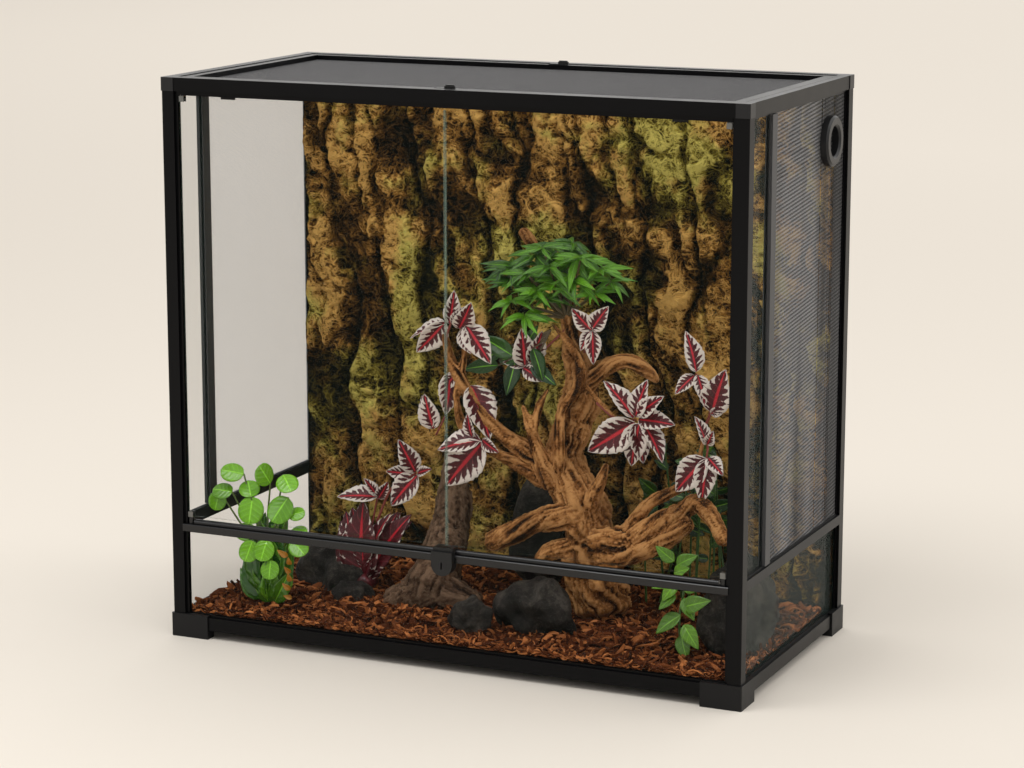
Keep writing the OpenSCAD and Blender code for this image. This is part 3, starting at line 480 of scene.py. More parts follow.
def add_screens():
    lid_paint = wire_paint("screen_wire", (0.13, 0.13, 0.135))
    # The side screens' wire is painted much lighter than the lid's, as painted light: the left one lit from
    # behind, the right one catching the room's light at a slant.
    left_paint = wire_paint("backlight_painted_screen_wire", (0.42, 0.44, 0.48))
    right_paint = wire_paint("sheen_painted_screen_wire", (0.42, 0.42, 0.43), True)
    for node, wire, grey in (("side_screen_left", LEFT_WIRE, left_paint),
                             ("side_screen_right", RIGHT_WIRE, right_paint)):
        low, high = corners(node)
        mid = (low + high) / 2
        panel = woven_panel("woven_" + node, high.y - low.y, high.z - low.z, wire)
        if node == "side_screen_right":
            cut_port(panel, mid)
        panel.location = mid
        settle(panel)
        finish_piece(panel, grey, node)
    low, high = corners("lid_screen")
    lid = woven_panel("woven_lid_screen", high.x - low.x, high.y - low.y, LID_WIRE)
    lid.matrix_world = Matrix(((0, 1, 0, 0), (0, 0, 1, 0), (1, 0, 0, 0), (0, 0, 0, 1)))
    settle(lid)
    lid.location = (low + high) / 2
    settle(lid)
    finish_piece(lid, lid_paint, "lid_screen", "lid")


# ---- natural forms
def lattice(ix, iy, iz, seed):
    h = (ix * 374761393 + iy * 668265263 + iz * 1440662683 + seed * 1274126177) & 0xFFFFFFFF
    h = ((h ^ (h >> 13)) * 1274126177) & 0xFFFFFFFF
    return ((h ^ (h >> 16)) & 0xFFFF) / 65535.0


def grain_noise(p, seed=0):
    """Smooth value noise at points (n, 3), from 0 to 1."""
    cell = np.floor(p).astype(np.int64)
    t = p - cell
    t = t * t * (3.0 - 2.0 * t)
    total = np.zeros(len(p))
    for corner in np.ndindex(2, 2, 2):
        weight = np.where(corner, t, 1 - t).prod(axis=1)
        total += weight * lattice(*(cell + corner).T, seed)
    return total


def rough_noise(p, octaves=4, seed=0, ridged=False):
    total, size, weight = np.zeros(len(p)), 0.0, 1.0
    for k in range(octaves):
        n = grain_noise(p * 2.03 ** k + 17.3 * k, seed + k)
        total += weight * (1 - np.abs(2 * n - 1) if ridged else n)
        size += weight
        weight *= 0.5
    return total / size


def store(obj, name, values):
    """Keep one number for each point, or one for all, where a material can read it."""
    data = np.empty(len(obj.data.vertices), dtype=np.float32)
    data[:] = values
    obj.data.attributes.new(name, "FLOAT", "POINT").data.foreach_set("value", data)


def stack(*columns):
    return np.column_stack(np.broadcast_arrays(*[np.asarray(c, dtype=float) for c in columns]))


# ---- bark background
BARK_LAP = 0.016  # how far the bark tucks in past its box on each side
BARK_BACK, BARK_DEPTH = 0.0243, 0.029  # where the sheet's clefts lie, and how far its tips stand out
BED_TOP = 0.044
CLEFTS = [0.09, 0.183, 0.267, 0.376, 0.457, 0.591, 0.676, 0.777, 0.867, 0.939]


def bark_finish():
    """Brown bark with ochre or mossy tips, under a crust of winding ridges. Its colour follows the relief, so
    the clefts and crust hollows are painted near black as shade and the highest tips are painted bright as
    highlight.
    """
    f = Finish("cork_bark", rough=0.8, spec=0.06)

    def ridges(scale, turn):
        n = f.noise(scale, 3, 0.55, f.stretch((1, 1, 1.25)), turn)
        off = f.math("ABSOLUTE", f.less(n))
        return f.math("SUBTRACT", 1.0, f.times(off, 9.0), clamp=True)

    crust = f.math("MAXIMUM", ridges(40.0, 1.1), f.times(ridges(82.0, 0.8), 0.85))
    grit = f.noise(420, 4, 0.7)
    broad = f.noise(26, 3, 0.6)
    height = f.total((f.attribute("relief"), 0.95), (crust, 0.45), (f.less(grit), 0.4), (f.less(broad), 0.4))
    # These ramps paint light and shade: near black in clefts and hollows (painted shade), brightest ochre on
    # the highest tips (painted highlight).
    brown = f.ramp(height, [
        (0.34, (0.002, 0.0015, 0.001)), (0.5, (0.022, 0.01, 0.003)), (0.66, (0.11, 0.05, 0.012)),
        (0.82, (0.38, 0.18, 0.036)), (1.0, (0.85, 0.5, 0.14))])
    moss = f.ramp(height, [
        (0.34, (0.002, 0.002, 0.001)), (0.5, (0.021, 0.015, 0.003)), (0.66, (0.1, 0.072, 0.012)),
        (0.82, (0.33, 0.26, 0.038)), (1.0, (0.78, 0.66, 0.16))])
    f.colour(f.mix(f.fade(f.noise(9, 4, 0.65), 0.47, 0.6), brown, moss))
    f.bump(crust, 0.004)
    f.bump(grit, 0.002, 0.9)
    return f.mat


def plates(x, z, width):
    """Rounded plates of bark between leaning, wandering clefts."""
    zd = z * 1000
    edges = [np.zeros_like(x)]
    for i, share in enumerate(CLEFTS, 1):
        lean = 0.1 * (z - 0.4225) * min(1, 4.3 * (1 - share))
        wander = 0.007 * np.sin(np.radians(0.9 * zd + 77 * i))
        wander += 0.004 * np.sin(np.radians(2.3 * zd + 131 * i))
        edges.append(width * share - lean + wander)
    edges.append(np.full_like(x, width))
    plate = np.zeros_like(x)
    for i, (left, right) in enumerate(zip(edges, edges[1:])):
        t = np.clip((x - left) / (right - left), 0, 1)
        sway = np.sin(np.radians(2.1 * zd + 97 * i)) * np.cos(np.radians(1.1 * zd - 53 * i))
        here = (x >= left) & (x <= right)
        plate[here] = (np.minimum(1, 2.3 * np.sin(np.pi * t)) ** 0.6 * (0.8 + 0.2 * sway))[here]
    return plate


def bark_relief(x, z, width):
    """Height of the bark, from 0 to 1: plates and clefts, with fissures, knobs and flakes."""
    x = x + 0.075 * (rough_noise(stack(x * 13, z * 9, 0), 3, 9) - 0.5)
    x = x + 0.03 * (rough_noise(stack(x * 50, z * 34, 1), 3, 19) - 0.5)
    depth = np.clip(0.2 + 1.5 * rough_noise(stack(x * 9, z * 7, 2), 3, 61), 0.35, 1)
    plate = 1 - (1 - plates(x, z, width)) * depth
    p = stack(x, 0, z)
    leaning = stack(x + 0.12 * z, 0, z)
    crossing = stack(x - 0.5 * z, 0, z + 0.5 * x)
    slanting = stack(x + 0.5 * z, 0, z - 0.5 * x)
    fissure = np.clip(rough_noise(leaning * (20, 1, 6.5), 4, 77, ridged=True) * 5.5 - 3.6, 0, 1)
    cross = np.clip(rough_noise(crossing * (9, 1, 17), 4, 88, ridged=True) * 5.5 - 3.9, 0, 1)
    lumps = rough_noise(p * (26, 1, 17), 3, 33)
    flakes = rough_noise(slanting * (120, 1, 62), 3, 40, ridged=True)
    knobs = rough_noise(p * (64, 1, 52), 4, 51, ridged=True)
    body = plate * (1 - 0.6 * fissure) * (1 - 0.35 * cross)
    return np.clip(body * (0.36 + 0.24 * lumps + 0.28 * flakes + 0.26 * knobs), 0, 1)


def add_bark():
    low, high = corners("bark_background")
    left, width = low.x - BARK_LAP, high.x - low.x + 2 * BARK_LAP
    bark, co = grid("cork_bark_sheet", 310, 290)
    x = (co[:, 0] + 0.5) * width
    z = low.z + (co[:, 1] + 0.5) * (high.z - low.z)
    edge = np.clip(np.minimum(x, width - x) / 0.012, 0, 1) ** 0.5
    relief = bark_relief(x, z, width) * edge * np.clip((z - BED_TOP) / 0.01 + 0.3, 0, 1)
    set_points(bark, stack(left + x, high.y - BARK_BACK - BARK_DEPTH * relief, z))
    added = close_sheet(bark, 1, 0.05, high.y)
    # The relief stored here also sets the bark's colour: the lower a place, the darker it is painted, as
    # shade.
    store(bark, "relief", np.concatenate([relief, np.full(added, 0.5)]))
    smooth(bark)
    finish_piece(bark, bark_finish(), "bark_background")


# ---- driftwood and log
WOOD = [  # limbs as x, y, z, radius in millimetres, from the trunk outwards
    [(152, -4, 60, 36), (140, -8, 128, 34), (124, -5, 206, 30), (86, 5, 270, 25), (100, 15, 326, 23),
     (110, 22, 384, 20), (98, 25, 438, 15), (84, 30, 488, 11), (68, 38, 530, 9), (36, 50, 564, 8),
     (-4, 62, 606, 8)],
    [(90, -5, 244, 20), (58, -15, 276, 15), (4, -22, 308, 11), (-38, -26, 346, 9), (-68, -26, 392, 8),
     (-86, -26, 424, 6), (-94, -26, 458, 4)],
    [(64, -12, 246, 13), (16, -24, 272, 9), (-28, -30, 294, 7), (-58, -32, 314, 6), (-72, -32, 358, 5),
     (-70, -26, 392, 5)],
    [(-70, -26, 392, 5), (-62, -24, 428, 4), (-66, -22, 458, 3)],
    [(80, -20, 242, 14), (58, -28, 298, 10), (44, -30, 338, 6), (36, -30, 360, 3)],
    [(52, -28, 324, 6), (62, -26, 364, 5), (74, -24, 386, 3)],
    [(92, -18, 266, 10), (92, -24, 316, 8), (98, -24, 358, 8), (120, -18, 396, 9), (120, -10, 426, 8),
     (104, -8, 452, 6), (76, -8, 480, 3)],
    [(118, 12, 390, 13), (152, 6, 420, 13), (188, 4, 434, 11), (218, 4, 422, 9), (236, 4, 408, 5)],
    [(118, -25, 200, 18), (64, -35, 190, 16), (24, -40, 166, 14), (-10, -44, 150, 13)],
    [(126, -25, 152, 14), (88, -38, 146, 12), (68, -42, 130, 9)],
    [(158, -30, 160, 26), (186, -38, 164, 22), (238, -45, 190, 17), (296, -50, 228, 13),
     (322, -52, 246, 12), (348, -62, 228, 11), (372, -74, 198, 9)],
    [(170, -36, 140, 18), (256, -56, 172, 12), (312, -60, 216, 10)],
    [(202, -35, 178, 12), (238, -34, 230, 8), (270, -32, 250, 7), (298, -30, 270, 6), (316, -28, 308, 4),
     (320, -26, 348, 3)],
    [(142, -25, 220, 12), (162, -32, 256, 8), (172, -34, 284, 5)],
    [(124, -8, 396, 4), (156, -18, 372, 3), (188, -28, 350, 2.5)],
]
LOG = [
    [(-112, -40, 66, 40), (-108, -20, 100, 34), (-102, 10, 156, 26), (-104, 30, 228, 20),
     (-110, 38, 274, 13)],
    [(-112, -44, 58, 36), (-168, -62, 40, 22)],
    [(-100, -40, 60, 34), (-40, -44, 44, 24)],
]


def flowing(points, step):
    """A smooth path through the limb's points, in metres, with a row about every step."""
    p = np.array(points, dtype=float) / 1000.0
    p = np.vstack([2 * p[0] - p[1], p, 2 * p[-1] - p[-2]])
    rows = []
    for k in range(1, len(p) - 2):
        length = np.linalg.norm(p[k + 1, :3] - p[k, :3])
        for t in np.arange(0, 1, 1 / max(2, int(length / step))):
            a, b, c, d = p[k - 1:k + 3]
            rows.append(0.5 * (2 * b + (c - a) * t + (2 * a - 5 * b + 4 * c - d) * t * t
                               + (3 * b - a - 3 * c + d) * t ** 3))
    rows.append(p[-2])
    return np.array(rows)


def unit_frame(along):
    """Each direction made a unit, and two unit vectors across it."""
    along = along / np.linalg.norm(along, axis=-1, keepdims=True)
    side = np.cross(along, (0.0, 1.0, 0.05))
    side /= np.linalg.norm(side, axis=-1, keepdims=True)
    return along, side, np.cross(along, side)


def limb_tube(name, rows, sides=16):
    """A closed tube along rows of x, y, z, radius: rings of points, with a point at each end."""
    centre, radius = rows[:, :3], rows[:, 3]
    along, side, up = unit_frame(np.gradient(centre, axis=0))
    angle = np.arange(sides)[None, :, None] * 2 * np.pi / sides
    ring = side[:, None] * np.cos(angle) + up[:, None] * np.sin(angle)
    verts = (centre[:, None] + ring * radius[:, None, None]).reshape(-1, 3)
    ends = [centre[0] - along[0] * radius[0] * 0.6, centre[-1] + along[-1] * radius[-1] * 0.8]
    first, last, base = len(verts), len(verts) + 1, (len(rows) - 1) * sides
    pairs = [(k, (k + 1) % sides) for k in range(sides)]
    faces = [(r + k, r + n, r + sides + n, r + sides + k) for r in range(0, base, sides) for k, n in pairs]
    faces += [(first, n, k) for k, n in pairs]
    faces += [(last, base + k, base + n) for k, n in pairs]
    return mesh_object(name, np.vstack([verts, ends]).tolist(), faces)


def along_grain(points, limbs):
    """For each point: distance along and angle round its nearest limb, and that limb's radius."""
    best = np.full(len(points), 1e9)
    found = np.zeros((3, len(points)))
    for k, rows in enumerate(limbs):
        run = np.concatenate([[0], np.cumsum(np.linalg.norm(np.diff(rows[:, :3], axis=0), axis=1))])
        for i in range(len(rows) - 1):
            a, b = rows[i, :3], rows[i + 1, :3]
            d = b - a
            t = np.clip((points - a) @ d / (d @ d), 0, 1)
            radius = rows[i, 3] + t * (rows[i + 1, 3] - rows[i, 3])
            off = points - (a + t[:, None] * d)
            gap = np.linalg.norm(off, axis=1) - radius
            _, side, up = unit_frame(d)
            closer = gap < best
            best[closer] = gap[closer]
            off = off[closer]
            found[:, closer] = (run[i] + t[closer] * (run[i + 1] - run[i]) + 1.7 * k,
                                np.arctan2(off @ up, off @ side), radius[closer])
    return found


def grooves(s, a, r, seed):
    """Depth of the grain: long twisted furrows round the limb, finer on thin wood."""
    turn = a + 9 * s + 3.2 * (rough_noise(stack(s * 16, 0, 0), 3, seed) - 0.5)
    lobes = np.clip(r * 260, 1.6, 7)

    def furrows(width, length, shift):
        around = stack(np.cos(turn) * lobes * width, np.sin(turn) * lobes * width, s * length)
        return rough_noise(around, 3, seed + shift, ridged=True)

    return furrows(0.55, 16, 5) * 0.58 + furrows(2.1, 30, 9) * 0.42


def strands(r, seed):
    """Four thinner cords that wind round a limb."""
    for k in range(4):
        turn = 2 * np.pi * k / 4 + np.linspace(0, 0.09 * len(r), len(r))
        cord = r.copy()
        cord[:, 0] += r[:, 3] * 0.86 * np.cos(turn)
        cord[:, 1] += r[:, 3] * 0.86 * np.sin(turn)
        swell = rough_noise(stack(np.arange(len(r)) * 0.4, k * 9, 1), 2, seed)
        cord[:, 3] *= 0.34 * (0.75 + 0.5 * swell)
        yield limb_tube("strand", cord, 10)


def add_wood(name, limbs, voxel, depth, material, node, seed, twisted=0):
    """One piece of wood from its limbs, the first few twisted, with its grain cut to a depth."""
    rows = [flowing(limb, 0.008) for limb in limbs]
    rng = np.random.default_rng(seed)
    for r in rows:
        wobble = rough_noise(stack(np.arange(len(r)) * 0.35, rng.uniform(0, 50), 0), 2, seed)
        r[:, 3] *= 0.9 + 0.28 * wobble
    tubes = [limb_tube("limb", r) for r in rows]
    for r in rows[:twisted]:
        tubes.extend(strands(r, seed))
    wood = join(tubes, name)
    modify(wood, "REMESH", mode="VOXEL", voxel_size=voxel)
    modify(wood, "SMOOTH", factor=0.5, iterations=5)
    co = points_of(wood)
    s, a, r = along_grain(co, rows)
    ridge = grooves(s, a, r, seed)
    knots = rough_noise(co * 28, 3, seed + 3)
    thick = r / 0.02
    push = (ridge - 0.62) * np.clip(thick, 0.22, 1.25) + (knots - 0.5) * 0.8 * np.clip(thick, 0.1, 1)
    co = co + points_of(wood, "normal") * (push * depth)[:, None]
    co[:, 2] = np.maximum(co[:, 2], WOOD_FOOT)
    set_points(wood, co)
    store(wood, "ridge", ridge)
    smooth(wood)
    finish_piece(wood, material, node)


def wood_finish(name, rough, stops):
    """Pale ridges, with the furrows painted dark as shade from their depth; worn and stained in patches."""
    f = Finish(name, rough=rough, spec=0.12)
    grit = f.noise(260, 4, 0.65)
    level = f.total((f.less(f.attribute("ridge"), 0.62), 1.55), (f.less(grit), 0.35))
    # The colour follows the ridge depth: deep furrows are painted near black as shade.
    tone = f.ramp(f.math("ADD", level, 0.64), stops)
    worn = f.mix(0.45, tone, scaled(stops[1][1], 0.4))
    f.colour(f.mix(f.fade(f.noise(13), 0.35, 0.7), tone, worn))
    f.bump(f.noise(300, 4, 0.7), 0.0012, 0.8)
    return f.mat


def add_driftwood():
    tan = wood_finish("bleached_driftwood", 0.75, [
        (0.46, (0.01, 0.0035, 0.001)), (0.6, (0.1, 0.035, 0.008)), (0.74, (0.3, 0.12, 0.032)),
        (0.94, (0.62, 0.31, 0.11))])
    add_wood("driftwood_piece", WOOD, 0.0026, 0.015, tan, "driftwood", 5, twisted=6)
    dark = wood_finish("weathered_log", 0.85, [
        (0.4, (0.01, 0.006, 0.004)), (0.56, (0.045, 0.024, 0.014)), (0.72, (0.11, 0.062, 0.036)),
        (0.92, (0.21, 0.13, 0.08))])
    add_wood("root_log_piece", LOG, 0.0034, 0.012, dark, "root_log", 12)


# ---- stones
STONES = [  # x, y, z, size along x, y, z, turn
    (4, -150, 58, 66, 44, 62, 10), (92, -104, 70, 130, 66, 90, -8), (10, 92, 130, 84, 60, 190, 15),
    (388, -50, 84, 92, 170, 170, 4), (-300, -6, 56, 130, 74, 92, -14), (-232, -66, 48, 60, 44, 44, 20),
]


def stone_finish():
    f = Finish("rough_stone", rough=0.7, spec=0.2)
    speck = f.noise(140, 6, 0.75)
    broad = f.noise(22, 4, 0.6)
    f.colour(f.ramp(f.total((broad, 0.6), (speck, 0.4)), [
        (0.35, (0.006, 0.005, 0.004)), (0.5, (0.022, 0.018, 0.015)), (0.66, (0.095, 0.08, 0.066))]))
    f.bump(f.noise(75, 7, 0.75), 0.006, 0.9)
    f.bump(f.noise(420, 3, 0.7), 0.001, 0.8)
    return f.mat


def add_stones():
    pieces = []
    for k, (*place, turn) in enumerate(STONES):
        centre, size = np.array(place[:3]) / 1000, np.array(place[3:]) / 1000
        stone = primitive("ico_sphere", subdivisions=5, radius=0.5)
        stone.scale = size
        stone.rotation_euler = (0, 0, radians(turn))
        stone.location = centre
        settle(stone)
        co = points_of(stone)
        out = (co - centre) / np.linalg.norm(co - centre, axis=1)[:, None]
        chips = rough_noise(co * 30, 4, 60 + k, ridged=True) - 0.55
        planes = grain_noise(out * 2.1 + k * 7, 80 + k) - 0.5
        co = co + out * ((planes * 0.34 + chips * 0.22) * size.min())[:, None]
        co[:, 2] = np.maximum(co[:, 2], STONE_FOOT)
        set_points(stone, co)
        pieces.append(stone)
    stones = join(pieces, "bed_stones")
    smooth(stones)
    finish_piece(stones, stone_finish(), "stones")


# ---- chip bed
CHIPS, FRONT_CHIPS, RIGHT_CHIPS = 6950, 1500, 420  # in all, and of these, against the two panes


def chip_finish():
    f = Finish("shredded_bark", rough=0.85, spec=0.1)
    level = f.total((f.attribute("tone"), 0.75), (f.noise(500, 3, 0.6), 0.25))
    f.colour(f.ramp(level, [
        (0.12, (0.018, 0.005, 0.002)), (0.4, (0.105, 0.028, 0.009)), (0.62, (0.26, 0.08, 0.024)),
        (0.85, (0.58, 0.21, 0.065))]))
    f.bump(f.noise(380, 5, 0.7), 0.0015, 0.8)
    return f.mat


def chip_shape():
    """One twisted, curled splinter of bark, about a metre long before it is scaled."""
    chip, co = grid("chip", 3, 1)
    u = co[:, 0] * 2
    y = co[:, 1] * 0.24 * (1.0 - 0.5 * np.abs(u) ** 1.5)
    set_points(chip, stack(co[:, 0], y, 0.16 * (1 - u ** 2) + 1.3 * y * co[:, 0]))
    modify(chip, "SOLIDIFY", thickness=0.07)
    chip.data.calc_loop_triangles()
    tris = np.array([t.vertices[:] for t in chip.data.loop_triangles])
    co = points_of(chip)
    bpy.data.objects.remove(chip)
    return co, tris


def turned(p, q, angle):
    """Coordinates p and q after a turn from p towards q."""
    c, s = np.cos(angle)[:, None], np.sin(angle)[:, None]
    return p * c - q * s, p * s + q * c


def add_pile(low, high, finish):
    """The lumpy bed that the loose chips lie on."""
    inset = 0.006
    bed, co = grid("chip_bed_pile", 220, 100)
    x = low.x + inset + (co[:, 0] + 0.5) * (high.x - low.x - 2 * inset)
    y = low.y + inset + (co[:, 1] + 0.5) * (high.y - low.y - 2 * inset)
    lump = rough_noise(stack(x * 60, y * 60, 0), 4, 91, ridged=True)
    z = high.z - 0.007 + 0.007 * lump + 0.004 * (rough_noise(stack(x * 9, y * 9, 0), 2, 95) - 0.5)
    set_points(bed, stack(x, y, z))
    added = close_sheet(bed, 2, -0.01, low.z + 0.0102)
    # The pile's tone follows its lumps and stays below the chips': its hollows and the gaps between chips are
    # painted darker as shade, and its walls under the chips get a low tone, painted shade too.
    store(bed, "tone", np.concatenate([0.45 * lump, np.full(added, 0.1)]))
    smooth(bed)
    finish_piece(bed, finish, "chip_bed")


def add_chips(low, high, finish):
    rng = np.random.default_rng(7)
    chip, tris = chip_shape()
    size = rng.uniform(0.011, 0.028, CHIPS) * rng.uniform(0.7, 1.2, CHIPS)
    spin = rng.uniform(0, 2 * np.pi, CHIPS)
    tip = rng.normal(0, 0.42, CHIPS)
    roll = rng.uniform(0, 2 * np.pi, CHIPS)
    px = rng.uniform(low.x + 0.008, high.x - 0.008, CHIPS)
    py = rng.uniform(low.y + 0.008, high.y - 0.008, CHIPS)
    pz = high.z - 0.0035 + rng.uniform(0, 0.0055, CHIPS)
    # those against the front and right glass fill the bed's face from its foot to its top
    front = slice(0, FRONT_CHIPS)
    right = slice(FRONT_CHIPS, FRONT_CHIPS + RIGHT_CHIPS)
    edge = slice(0, right.stop)
    py[front] = low.y + rng.uniform(0.001, 0.012, FRONT_CHIPS)
    px[right] = high.x - rng.uniform(0.001, 0.012, RIGHT_CHIPS)
    pz[edge] = rng.uniform(low.z + 0.012, high.z, edge.stop)
    spin[front] = rng.normal(0, 0.12, FRONT_CHIPS)
    spin[right] = np.pi / 2 + rng.normal(0, 0.12, RIGHT_CHIPS)
    size[edge] *= 0.75
    verts = chip[None] * np.stack([size, size * rng.uniform(0.6, 1.5, CHIPS), size], 1)[:, None]
    vx, vy, vz = np.moveaxis(verts, 2, 0)
    vy, vz = turned(vy, vz, roll)
    vz, vx = turned(vz, vx, tip)
    vx, vy = turned(vx, vy, spin)
    world = np.stack([vx + px[:, None], vy + py[:, None], vz + pz[:, None]], 2)
    x, y = world[:, :, 0], world[:, :, 1]
    inside = (np.abs(x).max(1) < high.x) & (y.min(1) > low.y) & (y.max(1) < high.y)
    kept = int(inside.sum())
    faces = (tris[None] + (np.arange(kept) * len(chip))[:, None, None]).reshape(-1, 3)
    chips = mesh_object("bark_chips", world[inside].reshape(-1, 3).tolist(), faces.tolist())
    store(chips, "tone", np.repeat(rng.uniform(0, 1, kept) ** 1.1, len(chip)))
    finish_piece(chips, finish)


def add_chip_bed():
    low, high = corners("chip_bed")
    finish = chip_finish()
    add_pile(low, high, finish)
    add_chips(low, high, finish)


# ---- leaves and stalks
# A plant's "tone": about 0 to 1 from dark to bright, or one of these
STALK_TONE, YELLOWED_TONE = -1.0, 2.0
GOLDEN_TURN = 2.4  # radians from one leaf of a rosette to the next
LEAF_FACE = (0.35, -0.8, 0.45)


def ovate(u):
    """Half width of a pointed oval leaf along its length."""
    return 0.02 + np.sin(np.pi * np.clip(u, 0, 1) ** 0.8) ** 0.85 * (1 - 0.25 * u)


def toothed(u):
    return ovate(u) * (1 + 0.1 * np.abs(2 * ((u * 9) % 1) - 1))


def rounded(u):
    return 0.03 + np.sqrt(np.clip(1 - (2 * u - 1) ** 2, 0, 1))


def lance(u):
    return 0.03 + np.sin(np.pi * u ** 0.75) ** 1.1


def leaf_form(name, outline, width, fold, droop, ripple=0, nu=20, nv=8, thick=0.012):
    """One leaf of length 1 along +X, face up; width is its greatest width."""
    leaf, co = grid(name, nu, nv)
    u, v = co[:, 0] + 0.5, co[:, 1] * 2
    y = v * outline(u) * width / 2
    set_points(leaf, stack(u, y, fold * np.abs(y) - droop * u ** 2 + ripple * np.sin(u * 34) * np.abs(v)))
    modify(leaf, "SOLIDIFY", thickness=thick, offset=0.0)
    smooth(leaf)
    return leaf


def set_leaf(leaf, foot, tip, tone, wide=1.0, roll=0.0, face=LEAF_FACE):
    """A copy of a leaf from foot to tip, in millimetres, turned to show its face that way."""
    foot, tip = Vector(foot) / 1000, Vector(tip) / 1000
    along = tip - foot
    length = along.length
    along.normalize()
    up = Vector(face)
    up = (up - along * up.dot(along)).normalized()
    up = Matrix.Rotation(roll, 3, along) @ up
    side = up.cross(along)
    copy = add_object(leaf.name, leaf.data.copy())
    turn = Matrix((along * length, side * length * wide, up * length)).transposed().to_4x4()
    copy.matrix_world = Matrix.Translation(foot) @ turn
    store(copy, "tone", tone)
    return copy


def stalk(*points):
    """A stalk through points of x, y, z, radius in millimetres."""
    tube = limb_tube("stalk", flowing(points, 0.006), 7)
    store(tube, "tone", STALK_TONE)
    return tube


def finish_plant(parts, patterns, name, finish, node):
    """Join a plant's leaves and stalks, and drop the leaves that they were copied from."""
    for pattern in patterns:
        bpy.data.objects.remove(pattern)
    finish_piece(join(parts, name), finish, node)


def folded(f, value):
    """1 at both ends of the span from 0 to 1, and 0 midway."""
    return f.math("ABSOLUTE", f.less(f.times(value, 2.0), 1.0))


def leaf_pattern(f, count, slant):
    """Distance across from the midrib, and chevron side veins: 1 on a vein, 0 midway between two."""
    along, sideways, _ = f.axes(f.node("TexCoord").outputs["UV"])
    across = folded(f, sideways)
    phase = f.less(f.times(along, count), f.times(across, slant))
    return across, folded(f, f.math("FRACT", phase))


def red_leaf_finish():
    """Dark red leaves with a bright midrib; tone sets how far the white margin runs in."""
    f = Finish("patterned_red_leaf", rough=0.42, spec=0.4)
    across, vein = leaf_pattern(f, 7.0, 1.5)
    tone = f.attribute("tone")
    blotch = f.less(f.noise(130, 4, 0.6))
    reach = f.total((across, 1.0), (vein, 0.55), (blotch, 1.2), (tone, 0.5))
    maroon = f.mix(f.noise(60), (0.026, 0.003, 0.005), (0.13, 0.009, 0.014))
    maroon = f.mix(f.fade(vein, 0.75, 1.0), maroon, (0.19, 0.02, 0.03))
    body = f.mix(f.fade(f.less(reach, 0.86), 0.44, 0.52), maroon, (0.78, 0.7, 0.63))
    body = f.mix(f.fade(across, 0.06, 0.13, rising=False), body, (0.58, 0.014, 0.03))
    f.colour(f.mix(f.math("LESS_THAN", tone, -0.5), body, (0.24, 0.045, 0.03)))
    f.bump(vein, 0.0008, 0.5)
    return f.mat


def green_leaf_finish(name, dark, bright, stem_colour, rough):
    f = Finish(name, rough=rough, spec=0.6)
    across, vein = leaf_pattern(f, 5.0, 1.2)
    tone = f.attribute("tone")
    body = f.mix(tone, dark, bright)
    body = f.mix(f.times(f.noise(45), 0.5), body, dark)
    line = f.times(f.fade(vein, 0.82, 1.0), f.times(tone, 0.4))
    rib = f.times(f.fade(across, 0.03, 0.09, rising=False), 0.6)
    pale = tuple(min(1.0, c * 1.7 + 0.02) for c in bright)
    body = f.mix(f.math("MAXIMUM", line, rib), body, pale)
    body = f.mix(f.math("GREATER_THAN", tone, 1.5), body, (0.5, 0.22, 0.02))
    f.colour(f.mix(f.math("LESS_THAN", tone, -0.5), body, stem_colour))
    f.bump(vein, 0.0006, 0.5)
    return f.mat


